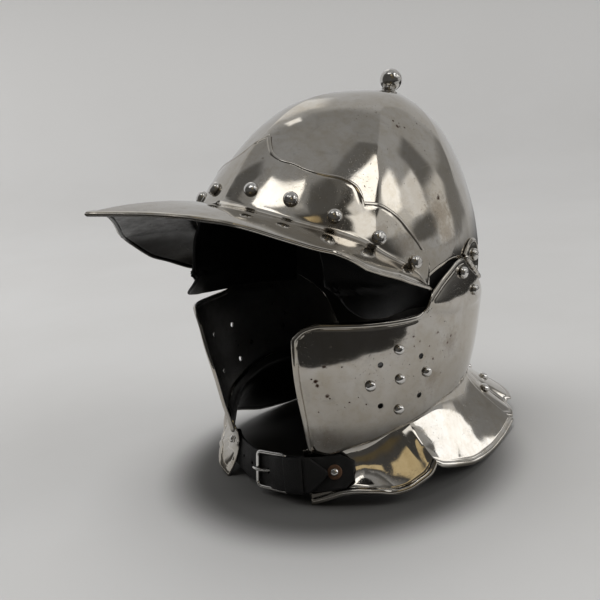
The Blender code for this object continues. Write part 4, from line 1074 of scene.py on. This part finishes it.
def hinge_piece(word, side):
    """Rounded leaf, knuckles and slotted screw over the ear."""
    angles = np.linspace(0.0, math.pi, 49)
    shares = np.concatenate([np.linspace(0.03, 0.86, 16), np.linspace(0.89, 1.0, 8)])
    outer, inner = [], []
    for a in angles:
        col_out, col_in = [], []
        for share in shares:
            r = HINGE_HALF * share
            s, t = r * math.cos(a), LEAF_FOOT + LEAF_STRETCH * r * math.sin(a)
            lip = 0.35 * math.exp(-((share - 0.93) / 0.035) ** 2)
            col_out.append(hinge_point(s, t, GAP + STEEL + lip, side))
            col_in.append(hinge_point(s, t, GAP, side))
        outer.append(col_out)
        inner.append(col_in)
    leaf = plate(f"hinge_plate_{word}", outer, inner, [STEEL_LOOK], angle=36.0)
    dress(leaf, "polished_steel", f"hinge_leaf_{word}")
    start, stop = (hinge_point(s, 0.0, BARREL_OUT, side) for s in (-HINGE_HALF, HINGE_HALF))
    length = np.linalg.norm(stop - start)
    profile = [(0.0, -1.1), (1.1, -0.9), (1.5, -0.3), (1.5, 0.0), (BARREL_R - 0.25, 0.02)]
    knuckles = 5
    for k in range(knuckles):
        a, b = length * k / knuckles, length * (k + 1) / knuckles
        profile += [(BARREL_R, a + 0.45), (BARREL_R, b - 0.45), (BARREL_R - 0.3, b - 0.05)]
    profile += [(1.5, length), (1.5, length + 0.3), (1.1, length + 0.9), (0.0, length + 1.1)]
    points, faces = spin(start, stop - start, profile, 20)
    barrel = publish(f"hinge_knuckles_{word}", points, faces, [STEEL_LOOK], angle=40.0)
    dress(barrel, "polished_steel", f"hinge_barrel_{word}")
    foot = hinge_point(SCREW_ALONG, SCREW_UP, GAP + STEEL + 0.15, side)
    n = normal(skull, 108.0, -50.0) * np.array([side, 1, 1])
    points, faces = spin(foot, n, head_profile(SCREW_R, 0.78), 32)
    head = publish(f"hinge_screw_head_{word}", points, faces, [RIVET_LOOK], angle=45.0)
    u, v, w = frame_of(n)
    slot = []
    for c in (0, 1):
        for a, b in ((-1, -1), (1, -1), (1, 1), (-1, 1)):
            slot.append(foot + v * a * 0.6 + u * b * 7.0 + w * (1.7 + 4.0 * c))
    box = [(0, 3, 2, 1), (4, 5, 6, 7), (0, 1, 5, 4), (1, 2, 6, 5), (2, 3, 7, 6), (3, 0, 4, 7)]
    cut_out(head, [publish(f"slot_{word}", slot, box, [RIVET_LOOK])])
    head.data.set_sharp_from_angle(angle=math.radians(40.0))
    dress(head, "bright_steel", f"hinge_screw_{word}")


# Finial: radius and height of its foot on the skull, then of the moulding and ring under the ball
FINIAL_FOOT = ((7.3, 0.0), (7.4, 0.35), (7.0, 0.75), (6.0, 1.1))
FINIAL_NECK = (
    (5.1, 1.35), (4.7, 1.6), (4.9, 1.75), (5.35, 1.9), (5.6, 2.15), (5.65, 2.45), (5.5, 2.75), (5.1, 2.95),
    (4.75, 3.0),
)
NECK_R = 4.6
BALL_HEIGHT = 10.9


def finial_piece():
    """Foot, ring and ball on the skull, leaning back."""
    sides = 56
    angles = [2 * math.pi * k / sides for k in range(sides)]
    axis = np.array([0.0, math.sin(FINIAL_LEAN), math.cos(FINIAL_LEAN)])
    across = np.array([1.0, 0.0, 0.0])
    along = np.cross(axis, across)
    foot = np.array([0.0, APEX_Y, APEX_Z])
    rings = []
    for r, h in FINIAL_FOOT:
        flat = [(r * math.cos(t), APEX_Y + r * math.sin(t)) for t in angles]
        rings.append([np.array([x, y, apex_drop(x, y) + GAP + h]) for x, y in flat])
    start = math.asin(NECK_R / BALL_R)
    ball = [start + (math.pi - start) * k / 22 for k in range(22)]
    upper = list(FINIAL_NECK) + [(BALL_R * math.sin(a), BALL_HEIGHT - BALL_R * math.cos(a)) for a in ball]
    for r, h in upper:
        rings.append([foot + axis * h + (across * math.cos(t) + along * math.sin(t)) * r for t in angles])
    points, faces = skin(foot + np.array([0.0, 0.0, GAP]), rings, foot + axis * (BALL_HEIGHT + BALL_R))
    dress(publish("finial_ball", points, faces, [RIVET_LOOK], angle=50.0), "bright_steel", "finial")


# Strap pieces

# Holes punched in the long end: place across the throat and radius. The prong stands in the first
PUNCHED_HOLES = ((7.4, 2.1), (-27.0, 1.35), (-13.5, 1.35))
# Radii of the buckle's corners
LEFT_TURN, RIGHT_TURN = 4.0, 2.0
# The prong's way from the bar over the strap to the frame: place across the throat and height
PRONG_RUN = (
    (22.4, -0.3), (16, -0.9), (11, -1.6), (8.6, -0.8), (6.2, 1.4), (3, 4.0), (0, 5.1), (-2.5, 5.4),
    (-5.3, 4.9),
)
WASHER_X = 58.6
# Shares of the strap's half width at which its rows lie, close together at its edges
ACROSS = (-1.0, -0.97, -0.92, -0.84, -0.66, -0.44, -0.22, 0.0, 0.22, 0.44, 0.66, 0.84, 0.92, 0.97, 1.0)


def strip(name, stations, widths, height, seed):
    """Leather strip along the strap's line, with rounded edges and slight wrinkles."""
    xs = np.arange(stations[0], stations[-1] + 0.01, (stations[-1] - stations[0]) / 110)
    outer, inner = [], []
    for x in xs:
        half = np.interp(x, stations, widths) / 2
        col_out, col_in = [], []
        for share in ACROSS:
            up = half * share
            p = strap_at(x, height(x), up)[0]
            wrinkle = 0.16 * noise.noise(Vector((p[0] / 5.0, p[2] / 9.0, seed)))
            press = -0.16 * math.exp(-((abs(share) - 0.86) / 0.035) ** 2)
            col_out.append(strap_at(x, height(x) + LEATHER / 2 + wrinkle + press, up)[0])
            col_in.append(strap_at(x, height(x) - LEATHER / 2 + wrinkle * 0.5, up)[0])
        outer.append(col_out)
        inner.append(col_in)
    return plate(name, outer, inner, [LEATHER_LOOK], angle=50.0)


def billet_piece():
    """Long end of the strap, pointed, with punched holes."""
    stations = [-53, -47.5, 43.8, 54.2]
    billet = strip("billet_strap", stations, [17.0, STRAP_WIDTH, STRAP_WIDTH, 2.5], ramp, 1.7)
    tools = []
    for k, (x, r) in enumerate(PUNCHED_HOLES):
        foot, rise, face = strap_at(x, -6.0 + ramp(x))
        points, faces = spin(foot, face, [(0, 0), (r, 0), (r, 14), (0, 14)], 24)
        tools.append(publish(f"punch_{k}", points, faces, [LEATHER_LOOK]))
    cut_out(billet, tools)
    billet.data.set_sharp_from_angle(angle=math.radians(50.0))
    dress(billet, "black_leather", "strap_billet")


def chape_piece():
    """Short end of the strap that holds the buckle."""
    stations = [BUCKLE_RIGHT + BUCKLE_WIRE_R + GAP, 62.9, 68.5]
    chape = strip("chape_strap", stations, [STRAP_WIDTH - 0.8, STRAP_WIDTH - 0.8, 10.6], lambda x: 0.0, 4.1)
    dress(chape, "black_leather", "strap_chape")


def buckle_pieces():
    """Wire frame of the buckle, round its corners, and the prong."""
    path = []
    for x0, up0, a0, a1, r in (
        (BUCKLE_LEFT, BUCKLE_HALF, 180, 90, LEFT_TURN), (BUCKLE_RIGHT, BUCKLE_HALF, 90, 0, RIGHT_TURN),
        (BUCKLE_RIGHT, -BUCKLE_HALF, 0, -90, RIGHT_TURN), (BUCKLE_LEFT, -BUCKLE_HALF, -90, -180, LEFT_TURN),
    ):
        cx = x0 + r if x0 < 5 else x0 - r
        cu = up0 - r if up0 > 0 else up0 + r
        for k in range(9):
            a = math.radians(a0 + (a1 - a0) * k / 8)
            x, up = cx + r * math.cos(a), cu + r * math.sin(a)
            share = (x - BUCKLE_LEFT) / (BUCKLE_RIGHT - BUCKLE_LEFT)
            path.append(strap_at(x, LAYER * (1 - share), up)[0])
    frame_wire = wire("buckle_wire", path, BUCKLE_WIRE_R + 0.2, NICKEL_LOOK, closed=True)
    dress(frame_wire, "nickel_wire", "buckle_frame")
    xs = np.linspace(PRONG_RUN[0][0], PRONG_RUN[-1][0], 40)
    outs = np.interp(-xs, [-x for x, _ in PRONG_RUN], [out for _, out in PRONG_RUN])
    outs = np.convolve(np.pad(outs, 2, mode="edge"), np.ones(5) / 5, mode="valid")
    prong = wire("prong_wire", [strap_at(x, out)[0] for x, out in zip(xs, outs)], PRONG_R + 0.15, NICKEL_LOOK)
    dress(prong, "nickel_wire", "buckle_prong")


def strap_rivet_pieces():
    """Washer and rivet on the near end of the strap, and the rivet of its far end."""
    foot, rise, face = strap_at(WASHER_X, LEATHER / 2 + 0.1)
    profile = [(0, 0), (4.9, 0), (5.25, 0.3), (5.2, 1.0), (4.7, 1.35), (3.0, 1.25), (0, 1.2)]
    points, faces = spin(foot, face, profile, 34)
    dress(publish("washer_disc", points, faces, [BROWN_LOOK], angle=60.0), "brown_leather", "strap_washer")
    rivets("near_strap_rivet", [(foot + face * 1.2, face)], STRAP_R, 0.86, ["strap_rivet_near"], 23)
    rivets("far_strap_rivet", [skirt_rivet(-33.0, 0.45, SUNK)], STRAP_R, 0.86, ["strap_rivet_far"], 29)


def keeper_piece():
    """Leather loop round both layers of the strap."""
    low, high = -LEATHER / 2 - GAP, LAYER + LEATHER / 2 + GAP
    wall, half = 1.5, STRAP_WIDTH / 2 + 0.4
    round_r = 0.9
    ring_in, ring_out = [], []
    for sx, sy, start in ((1, 1, 0), (-1, 1, 90), (-1, -1, 180), (1, -1, 270)):
        cx = sx * (half - round_r)
        cy = (high if sy > 0 else low) - sy * round_r
        for k in range(6):
            a = math.radians(start + 18 * k)
            ring_in.append((cx + round_r * math.cos(a), cy + round_r * math.sin(a)))
            ring_out.append((cx + (round_r + wall) * math.cos(a), cy + (round_r + wall) * math.sin(a)))
    xs = (26.9, 27.2, 27.8, 28.6, 30.5, 33.0, 35.5, 37.3, 38.1, 38.7, 39.0)
    outer = [[strap_at(x, out, up)[0] for x in xs] for up, out in ring_out]
    inner = [[strap_at(x, out, up)[0] for x in xs] for up, out in ring_in]
    loop = plate("keeper_loop", outer, inner, [LEATHER_LOOK], closed=True, angle=50.0)
    dress(loop, "black_leather", "strap_keeper")


# Materials
class Nodes:
    """Short way to build the node tree of a material or a world."""

    def __init__(self, owner):
        owner.use_nodes = True
        self.tree = owner.node_tree
        self.tree.nodes.clear()

    def add(self, kind, inputs=None, **settings):
        node = self.tree.nodes.new(kind)
        for key, value in settings.items():
            setattr(node, key, value)
        for key, value in (inputs or {}).items():
            if isinstance(value, bpy.types.NodeSocket):
                self.tree.links.new(value, node.inputs[key])
            else:
                node.inputs[key].default_value = value
        return node

    def math(self, operation, *values):
        return self.add("ShaderNodeMath", dict(enumerate(values)), operation=operation).outputs[0]

    def ramp(self, value, low, high, start=0.0, end=1.0, smooth=True):
        kind = "SMOOTHSTEP" if smooth else "LINEAR"
        inputs = {"Value": value, "From Min": low, "From Max": high, "To Min": start, "To Max": end}
        return self.add("ShaderNodeMapRange", inputs, interpolation_type=kind).outputs[0]

    def mix(self, share, first, second):
        return self.add("ShaderNodeMix", {0: share, 6: first, 7: second}, data_type="RGBA").outputs[2]

    def noise(self, place, size_mm, detail=4.0, rough=0.55, warp=0.0):
        inputs = {"Vector": place, "Scale": 1000.0 / size_mm, "Detail": detail, "Roughness": rough}
        inputs["Distortion"] = warp
        return self.add("ShaderNodeTexNoise", inputs).outputs["Fac"]

    def squash(self, place, turn, scale):
        return self.add("ShaderNodeMapping", {"Vector": place, "Rotation": turn, "Scale": scale}).outputs[0]

    def plus(self, value, share, amount):
        """The value, with a share of the amount added to it."""
        return self.math("ADD", value, self.math("MULTIPLY", share, amount))

    def surface(self, shader, inputs, end="ShaderNodeOutputMaterial"):
        self.add(end, {"Surface": self.add(shader, inputs).outputs[0]})


def new_look(name):
    """Empty material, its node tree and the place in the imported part's frame."""
    look = bpy.data.materials.new(name)
    net = Nodes(look)
    return look, net, net.add("ShaderNodeTexCoord").outputs["Object"]


def grey(value, warm=0.0):
    """Grey of a brightness, with a warm tint."""
    return (value * (1 + warm), value, value * (1 - 1.6 * warm), 1.0)


# Rust spots and stains of each plate, with radius and strength
SKULL_SPOTS = table(
    "az z size strength",
    (69, 44.5, 1.2, 0.90), (71.5, 40.5, 1.5, 0.90), (76, 40, 1.1, 0.80), (85.5, 43.5, 1.1, 0.80),
    (72.5, 43, 0.8, 0.70), (89.5, -9.5, 1.4, 0.80), (58.5, 50, 0.7, 0.60), (86.5, 23.5, 0.7, 0.60),
    (87, 5, 0.6, 0.60),
)
FLANGE_SPOTS = table(
    "az z size strength",
    (52, -8, 0.5, 0.50), (68.5, -27.5, 0.6, 0.50), (9.5, 16, 0.6, 0.40),
)
CHEEK_SPOTS = table(
    "az z size strength",
    (34.5, -132, 1.5, 0.95), (35, -135, 1.3, 0.90), (33, -130.5, 0.8, 0.80), (38.5, -143, 1.5, 0.90),
    (39.5, -144.5, 0.7, 0.80), (38.5, -121, 1.3, 0.85), (45, -121.5, 0.7, 0.80), (51, -144, 0.6, 0.80),
    (47.5, -147.5, 0.7, 0.80), (45.5, -151, 0.5, 0.70), (34.5, -155, 0.7, 0.60), (54.5, -149.5, 0.7, 0.80),
    (27.5, -146.5, 0.6, 0.70), (28.5, -165.5, 0.7, 0.70), (41.5, -107, 0.6, 0.50), (73.5, -103, 0.8, 0.70),
    (76.5, -107, 0.6, 0.70), (74, -110, 0.5, 0.70), (84, -121, 0.9, 0.75), (81.5, -111.5, 0.7, 0.70),
    (85.5, -102.5, 1.2, 0.60), (93.5, -107, 1.2, 0.70), (92, -111.5, 0.7, 0.70), (90.5, -133.5, 0.7, 0.60),
    (89.5, -116.5, 0.6, 0.60),
)
SKULL_STAINS = table("az z size strength", (89.5, -20, 13, 0.50), (92, -33.5, 10, 0.45))
FLANGE_STAINS = table(
    "az z size strength",
    (63.5, -30.5, 6, 0.30), (47, -28.5, 6, 0.40), (40.5, -24.5, 5, 0.35),
)
CHEEK_STAINS = table(
    "az z size strength",
    (71.5, -41, 9, 0.35), (93.5, -111.5, 9, 0.40), (85.5, -135, 8, 0.35), (38.5, -177, 9, 0.30),
)


def marks(surface, rows, lift=0.0):
    """Spots of a table on a plate: place in the resting frame, radius and strength."""
    found = []
    for az, z, size, strength in zip(rows["az"], rows["z"], rows["size"], rows["strength"]):
        x, y, up = rest(lifted(surface, az, z, lift))
        found.append((float(x), float(y), float(up), size, strength))
    return found


def near_spots(net, place, spots, soft):
    """How close a point is to any of the listed spots, with a ragged outline."""
    ragged = net.ramp(net.noise(place, 2.6, 3.0), 0.3, 0.7, 0.45, 1.5, False)
    total = None
    for x, y, z, radius, strength in spots:
        inputs = {0: place, 1: (x, y, z)}
        apart = net.add("ShaderNodeVectorMath", inputs, operation="DISTANCE").outputs["Value"]
        apart = net.math("MULTIPLY", apart, ragged)
        share = net.ramp(apart, radius * MM * soft, radius * MM * 1.3, strength, 0.0)
        total = share if total is None else net.math("MAXIMUM", total, share)
    return total


# Directions in which hairline scratches run: turn and squash of their noise
SCRATCHES = (
    ((0.3, 0.9, 0.4), (1.0, 0.035, 1.0)),
    ((1.1, 0.2, 1.3), (1.0, 0.05, 1.0)),
    ((0.0, 0.5, 2.2), (1.0, 0.03, 1.0)),
)


def steel_look(name, tone, rough, grime=0.35, spots=(), stains=(), warm=0.028, bump=1.0):
    """Worn polished steel with clouds, hairline scratches, pits and stains."""
    look, net, place = new_look(name)
    clouds = net.noise(place, 46.0, 5.0, 0.6, 0.6)
    mottle = net.noise(place, 7.0, 6.0, 0.65)
    color = net.mix(net.ramp(clouds, 0.36, 0.66), grey(tone, warm), grey(tone * 1.16, warm * 0.6))
    color = net.mix(net.ramp(mottle, 0.42, 0.72, 0.0, 0.35), color, grey(tone * 0.72, warm * 2.2))
    dull = net.ramp(net.noise(place, 21.0, 6.0, 0.7, 1.2), 0.55, 0.75, 0.0, grime)
    color = net.mix(dull, color, grey(tone * 0.62, 0.05))
    pits = net.ramp(net.noise(place, 1.3, 2.0, 0.5), 0.66, 0.73)
    where = net.ramp(net.noise(place, 26.0, 3.0), 0.47, 0.62)
    pits = net.math("MULTIPLY", pits, where)
    color = net.mix(net.math("MULTIPLY", pits, 0.75), color, (0.045, 0.032, 0.024, 1.0))
    rough_value = net.ramp(mottle, 0.3, 0.75, rough * 0.75, rough * 1.45, False)
    rough_value = net.plus(net.plus(rough_value, dull, 0.10), pits, 0.4)
    if stains:
        share = near_spots(net, place, stains, 0.15)
        color = net.mix(share, color, (0.20, 0.145, 0.09, 1.0))
        rough_value = net.plus(rough_value, share, 0.2)
    if spots:
        share = near_spots(net, place, spots, 0.4)
        color = net.mix(share, color, (0.062, 0.026, 0.014, 1.0))
        rough_value = net.plus(rough_value, share, 0.5)
    rough_value = net.math("MINIMUM", rough_value, 0.9)
    height = None
    for k, (turn, scale) in enumerate(SCRATCHES):
        lines = net.noise(net.squash(place, turn, scale), 0.85 + 0.4 * k, 2.0, 0.5)
        lines = net.ramp(lines, 0.62, 0.74)
        height = lines if height is None else net.math("MAXIMUM", height, lines)
    swirl = net.ramp(net.noise(place, 38.0, 2.0), 0.45, 0.62)
    height = net.math("MULTIPLY", height, swirl)
    rough_value = net.plus(rough_value, height, 0.08)
    fine = net.math("MULTIPLY", net.noise(place, 3.2, 4.0), 0.30)
    total = net.plus(net.plus(fine, height, -0.25), pits, -0.8)
    inputs = {"Strength": 0.10 * bump, "Distance": 0.0002, "Height": total}
    normal = net.add("ShaderNodeBump", inputs).outputs[0]
    inputs = {"Base Color": color, "Roughness": rough_value, "Metallic": 1.0, "Normal": normal}
    net.surface("ShaderNodeBsdfPrincipled", inputs)
    return look


def brighter(color, factor):
    """A colour times a factor."""
    return tuple(channel * factor for channel in color[:3]) + (1.0,)


def leather_look(name, tone, worn, shine):
    """Leather with fine grain, creases and scuffed places."""
    look, net, place = new_look(name)
    clouds = net.noise(place, 14.0, 5.0, 0.6)
    color = net.mix(net.ramp(clouds, 0.4, 0.7), tone, worn)
    inputs = {"Vector": place, "Scale": 1150.0, "Randomness": 1.0}
    cells = net.add("ShaderNodeTexVoronoi", inputs, feature="DISTANCE_TO_EDGE")
    groove = net.ramp(cells.outputs["Distance"], 0.0, 0.22, 1.0, 0.0)
    color = net.mix(net.math("MULTIPLY", groove, 0.45), color, brighter(tone, 0.35))
    streaks = net.squash(place, (0.2, 0.3, 0.4), (1.0, 0.3, 1.0))
    scuff = net.ramp(net.noise(streaks, 3.4, 5.0, 0.7), 0.6, 0.78, 0.0, 0.7)
    color = net.mix(scuff, color, brighter(worn, 1.9))
    rough_value = net.ramp(clouds, 0.3, 0.7, shine * 0.8, shine * 1.25, False)
    rough_value = net.plus(rough_value, scuff, 0.18)
    folds = net.squash(place, (0.0, 0.1, 0.3), (1.0, 1.0, 0.22))
    crease = net.ramp(net.noise(folds, 5.0, 3.0), 0.35, 0.65)
    height = net.math("SUBTRACT", net.math("MULTIPLY", crease, 0.6), groove)
    normal = net.add("ShaderNodeBump", {"Strength": 0.45, "Distance": 0.00025, "Height": height}).outputs[0]
    inputs = {"Base Color": color, "Roughness": rough_value, "Specular IOR Level": 0.32, "Normal": normal}
    net.surface("ShaderNodeBsdfPrincipled", inputs)
    return look


# Middle of the painted shadow that the helmet's foot leaves in the floor's colour
PAINTED_SHADOW_CENTRE = (0.012, 0.008, 0.0)


def plain_look(name, low_tone, high_tone, rough):
    """Matt paper of the studio, lighter towards the wall, with painted shade that darkens it towards the
    middle and a painted shadow close round the helmet's foot.
    """
    look, net, place = new_look(name)
    clouds = net.noise(place, 380.0, 4.0, 0.6)
    flat = net.add("ShaderNodeVectorMath", {0: place}, operation="LENGTH").outputs["Value"]
    # Painted shade: the paper's colour is darker towards the middle, round the helmet, and lighter outwards
    rise = net.ramp(flat, 0.15, 1.9)
    low = net.mix(net.ramp(clouds, 0.3, 0.7), grey(low_tone, 0.012), grey(low_tone * 1.05, 0.008))
    high = net.mix(net.ramp(clouds, 0.3, 0.7), grey(high_tone, 0.008), grey(high_tone * 1.04, 0.006))
    color = net.mix(rise, low, high)
    color = net.mix(net.ramp(flat, 1.6, 2.3), color, grey(high_tone * 1.34, 0.006))
    # Painted shadow: the colour turns dark close round the helmet's foot, in place of its contact shadow
    inputs = {0: place, 1: PAINTED_SHADOW_CENTRE}
    under = net.add("ShaderNodeVectorMath", inputs, operation="DISTANCE").outputs["Value"]
    color = net.mix(net.ramp(under, 0.104, 0.15), grey(low_tone * 0.22, 0.02), color)
    inputs = {"Base Color": color, "Roughness": rough, "Specular IOR Level": 0.2}
    net.surface("ShaderNodeBsdfPrincipled", inputs)
    return look


FLANGE_LIFT = PEAK_CLEAR + STEEL
SPOTS = marks(skull, SKULL_SPOTS) + marks(skull, FLANGE_SPOTS, FLANGE_LIFT) + marks(cheek, CHEEK_SPOTS)
STAINS = marks(skull, SKULL_STAINS) + marks(skull, FLANGE_STAINS, FLANGE_LIFT) + marks(cheek, CHEEK_STAINS)
STEEL_LOOK = steel_look("worn_polished_steel", 0.46, 0.062, 0.4, SPOTS, STAINS, warm=0.075)
UNDER_LOOK = steel_look("dull_underside_steel", 0.05, 0.34, 0.3, warm=0.02)
INSIDE_LOOK = steel_look("blackened_inside_steel", 0.16, 0.34, 0.5, warm=0.03)
RIVET_LOOK = steel_look("bright_rivet_steel", 0.66, 0.09, 0.15, bump=0.7)
NICKEL_LOOK = steel_look("bright_nickel", 0.70, 0.08, 0.12, warm=0.02, bump=0.5)
# Tones of each leather: as it is, and worn
BLACK = ((0.006, 0.0058, 0.006, 1.0), (0.013, 0.0125, 0.012, 1.0))
BROWN = ((0.075, 0.036, 0.018, 1.0), (0.125, 0.065, 0.034, 1.0))
LEATHER_LOOK = leather_look("black_strap_leather", *BLACK, 0.46)
BROWN_LOOK = leather_look("brown_washer_leather", *BROWN, 0.55)


# Fine pieces
skull_piece()
peak_piece()
brow_rivets_piece()
finial_piece()
lining_piece()
for word, side in (("left", 1.0), ("right", -1.0)):
    cheek_piece(word, side)
    collar_piece(word, side)
    hinge_piece(word, side)
    cheek_rivets_piece(word, side)
guard_piece()
billet_piece()
chape_piece()
buckle_pieces()
keeper_piece()
strap_rivet_pieces()


# Surroundings that the polished plates reflect. Azimuth 0 is the front, and 90 the helmet's near side

WHITE = (1.0, 0.99, 0.97)
WARM = (1.0, 0.80, 0.46)
# Bright and dark patches: azimuth from and to, elevation from and to, softness, tint and brightness
WINDOWS = (
    (58.0, 128.0, 56.5, 69.0, 2.0, WHITE, 0.17),
    (58.0, 84.0, 55.0, 66.5, 1.5, WHITE, 0.12),
    (-66.0, -46.0, 57.0, 69.5, 2.0, WHITE, 0.13),
    (-22.0, 50.0, 67.8, 73.5, 0.8, WHITE, 2.3),
    (-24.0, -4.0, 63.5, 69.0, 1.0, WHITE, 2.3),
    (44.0, 54.0, 63.5, 66.5, 1.0, WHITE, 0.55),
    (95.0, 116.0, 44.0, 58.5, 1.0, WHITE, 2.3),
    (83.0, 97.0, 28.0, 46.0, 2.0, WHITE, 1.4),
    (97.0, 121.0, 16.0, 36.0, 2.0, WHITE, 0.65),
    (121.0, 131.5, 15.0, 25.0, 1.5, WHITE, 0.8),
    (121.0, 131.5, 25.0, 35.0, 1.5, WHITE, 1.8),
    (131.5, 143.0, 16.0, 27.0, 1.0, WHITE, 1.0),
    (143.0, 156.0, 19.0, 34.0, 2.0, WHITE, 0.18),
    (129.0, 144.0, 5.0, 13.5, 1.5, WHITE, 0.15),
    (144.0, 158.0, -1.0, 17.0, 2.0, WHITE, 0.75),
    (158.0, 178.0, -3.0, 17.0, 1.5, WHITE, 0.24),
    (88.0, 96.0, 44.0, 52.0, 1.0, WHITE, 1.1),
    (-128.0, -116.0, 58.0, 63.0, 1.0, WHITE, 1.5),
    (-140.0, -116.0, 28.0, 52.0, 3.0, WHITE, 0.95),
    (39.5, 62.0, 45.0, 53.5, 1.0, WARM, 0.72),
    (44.0, 70.0, 14.0, 34.0, 6.0, WARM, 0.11),
)


def make_world():
    """Dim room with patches of light, which only reflections see."""
    world = bpy.data.worlds.new("studio")
    bpy.context.scene.world = world
    net = Nodes(world)
    way = net.add("ShaderNodeTexCoord").outputs["Generated"]
    split = net.add("ShaderNodeSeparateXYZ", {0: way})
    x, y, z = split.outputs
    back = net.math("MULTIPLY", y, -1.0)
    az = net.math("DEGREES", net.math("ARCTAN2", x, back))
    el = net.math("DEGREES", net.math("ARCSINE", z))

    def band(value, low, high, soft):
        up = net.ramp(value, low - soft, low + soft)
        down = net.ramp(value, high - soft, high + soft, 1.0, 0.0)
        return net.math("MULTIPLY", up, down)

    room = net.mix(band(az, -62.0, 116.0, 7.0), grey(0.52), grey(0.07, 0.03))
    room = net.mix(band(az, 116.0, 181.0, 5.0), room, grey(0.42))
    room = net.mix(net.ramp(el, 54.0, 63.0), room, grey(0.32))
    room = net.mix(net.ramp(el, 70.0, 75.0), room, grey(0.34))
    room = net.mix(net.ramp(el, -14.0, -4.0, 1.0, 0.0), room, grey(0.035, 0.02))
    for low, high, bottom, top, soft, tone, power in WINDOWS:
        share = net.math("MULTIPLY", band(az, low, high, soft), band(el, bottom, top, soft))
        room = net.mix(share, room, brighter(tone, power))
    seen = net.add("ShaderNodeLightPath").outputs["Is Camera Ray"]
    color = net.mix(seen, room, grey(0.60))
    net.surface("ShaderNodeBackground", {"Color": color, "Strength": 1.0}, "ShaderNodeOutputWorld")


make_world()


# Studio floor, backdrop and soft lights, in metres

# Soft lights: name, place, size and watts
LIGHTS = (
    ("soft_top", (-0.3, -0.2, 2.0), 1.7, 30.0),
    ("soft_left", (-1.7, -0.9, 1.1), 1.3, 15.0),
    ("soft_right", (1.6, 0.9, 1.2), 1.3, 15.0),
)
# Reach of the floor that reflections see, by azimuth. Past it they see the dark of the room
TABLE_AZ = (-75.0, -30.0, 0.0, 30.0, 60.0, 90.0, 101.0, 112.0)
TABLE_REACH = (0.62, 0.36, 0.25, 0.24, 0.28, 0.33, 0.36, 0.62)
# Backdrop: where its wall starts to rise, the radius of its bend, and how far it lies under the floor disc
WALL_START = 1.3
WALL_BEND = 0.9
BACKDROP_DROP = -0.00015


def make_studio():
    """Floor disc that all rays see, a backdrop for the camera alone, and the lights."""
    paper = plain_look("studio_paper", 0.41, 0.56, 0.85)
    sides = 96
    ring = [(math.cos(2 * math.pi * k / sides), math.sin(2 * math.pi * k / sides)) for k in range(sides)]
    points = []
    for c, s in ring:
        az = math.degrees(math.atan2(c, -s))
        reach = float(np.interp(az, TABLE_AZ, TABLE_REACH))
        points.append((reach * c, reach * s, 0.0))
    floor = publish("floor_disc", points, [tuple(range(sides))], [paper], angle=60.0, in_rest=True)
    profile = [(0.2, BACKDROP_DROP), (WALL_START, BACKDROP_DROP)]
    for a in np.linspace(0.1, math.pi / 2, 14):
        profile.append((WALL_START + WALL_BEND * math.sin(a), WALL_BEND * (1 - math.cos(a))))
    profile.append((WALL_START + WALL_BEND, 2.2))
    points = [(r * c, r * s, h) for r, h in profile for c, s in ring]
    faces = []
    for j in range(len(profile) - 1):
        for k in range(sides):
            n = (k + 1) % sides
            faces.append((j * sides + k, j * sides + n, (j + 1) * sides + n, (j + 1) * sides + k))
    backdrop = publish("backdrop", points, faces, [paper], angle=60.0, in_rest=True)
    backdrop.visible_glossy = False
    backdrop.visible_diffuse = False
    backdrop.visible_shadow = False
    backdrop.visible_transmission = False
    for name, place, size, power in LIGHTS:
        lamp = bpy.data.lights.new(name, "AREA")
        lamp.shape = "DISK"
        lamp.size = size
        lamp.energy = power
        made = bpy.data.objects.new(name, lamp)
        made.location = place
        aim = Vector((0.0, 0.0, 0.12)) - Vector(place)
        made.rotation_euler = aim.to_track_quat("-Z", "Y").to_euler()
        made.visible_glossy = False
        bpy.context.scene.collection.objects.link(made)


make_studio()


# White lid beside the collar: its middle and heights, and its outline as azimuth and distance from there
LID_CENTRE = (0.105, 0.06)
LID_HEIGHTS = (0.120, 0.122)
LID_NEAR = ((84, 0.10), (100, 0.085), (114, 0.09), (126, 0.11), (142, 0.13), (153, 0.17))
LID_FAR = (
    (158, 0.70), (161, 1.10), (164, 2.60), (150, 1.50), (139, 0.78), (124, 0.50), (106, 0.33), (88, 0.17),
)


def white_lid():
    """Thin lid that glows on its underside, which only the collar's plates see."""
    glow_look, net, place = new_look("white_underside")
    color = net.mix(net.ramp(net.noise(place, 160.0), 0.3, 0.7), grey(0.92), grey(1.0))
    net.surface("ShaderNodeEmission", {"Color": color, "Strength": 2.0})
    grey_look = plain_look("grey_top", 0.30, 0.30, 0.8)
    points = []
    outline = LID_NEAR + LID_FAR
    count = len(outline)
    for h in LID_HEIGHTS:
        for az, reach in outline:
            a = math.radians(az)
            points.append((LID_CENTRE[0] + reach * math.sin(a), LID_CENTRE[1] - reach * math.cos(a), h))
    faces = [tuple(range(count)), tuple(range(count, 2 * count))]
    faces += [(k, (k + 1) % count, count + (k + 1) % count, count + k) for k in range(count)]
    lid = publish("white_lid", points, faces, [glow_look, grey_look], [0] + [1] * (count + 1), 30.0, True)
    lid.visible_camera = False
    lid.visible_diffuse = False
    lid.visible_shadow = False


white_lid()
bpy.context.scene.view_settings.view_transform = "Standard"

# Camera where the photo was taken: place in metres and turn in degrees
CAMERA_PLACE = (0.437, -0.4493466, 0.29118)
CAMERA_TURN = (75.465281, 6.42148, 42.942285)
camera_data = bpy.data.cameras.new("camera")
camera_data.sensor_width = 36.0
camera_data.lens = 51.6
camera = bpy.data.objects.new("camera", camera_data)
camera.location = CAMERA_PLACE
camera.rotation_euler = [math.radians(a) for a in CAMERA_TURN]
bpy.context.scene.collection.objects.link(camera)
bpy.context.scene.camera = camera
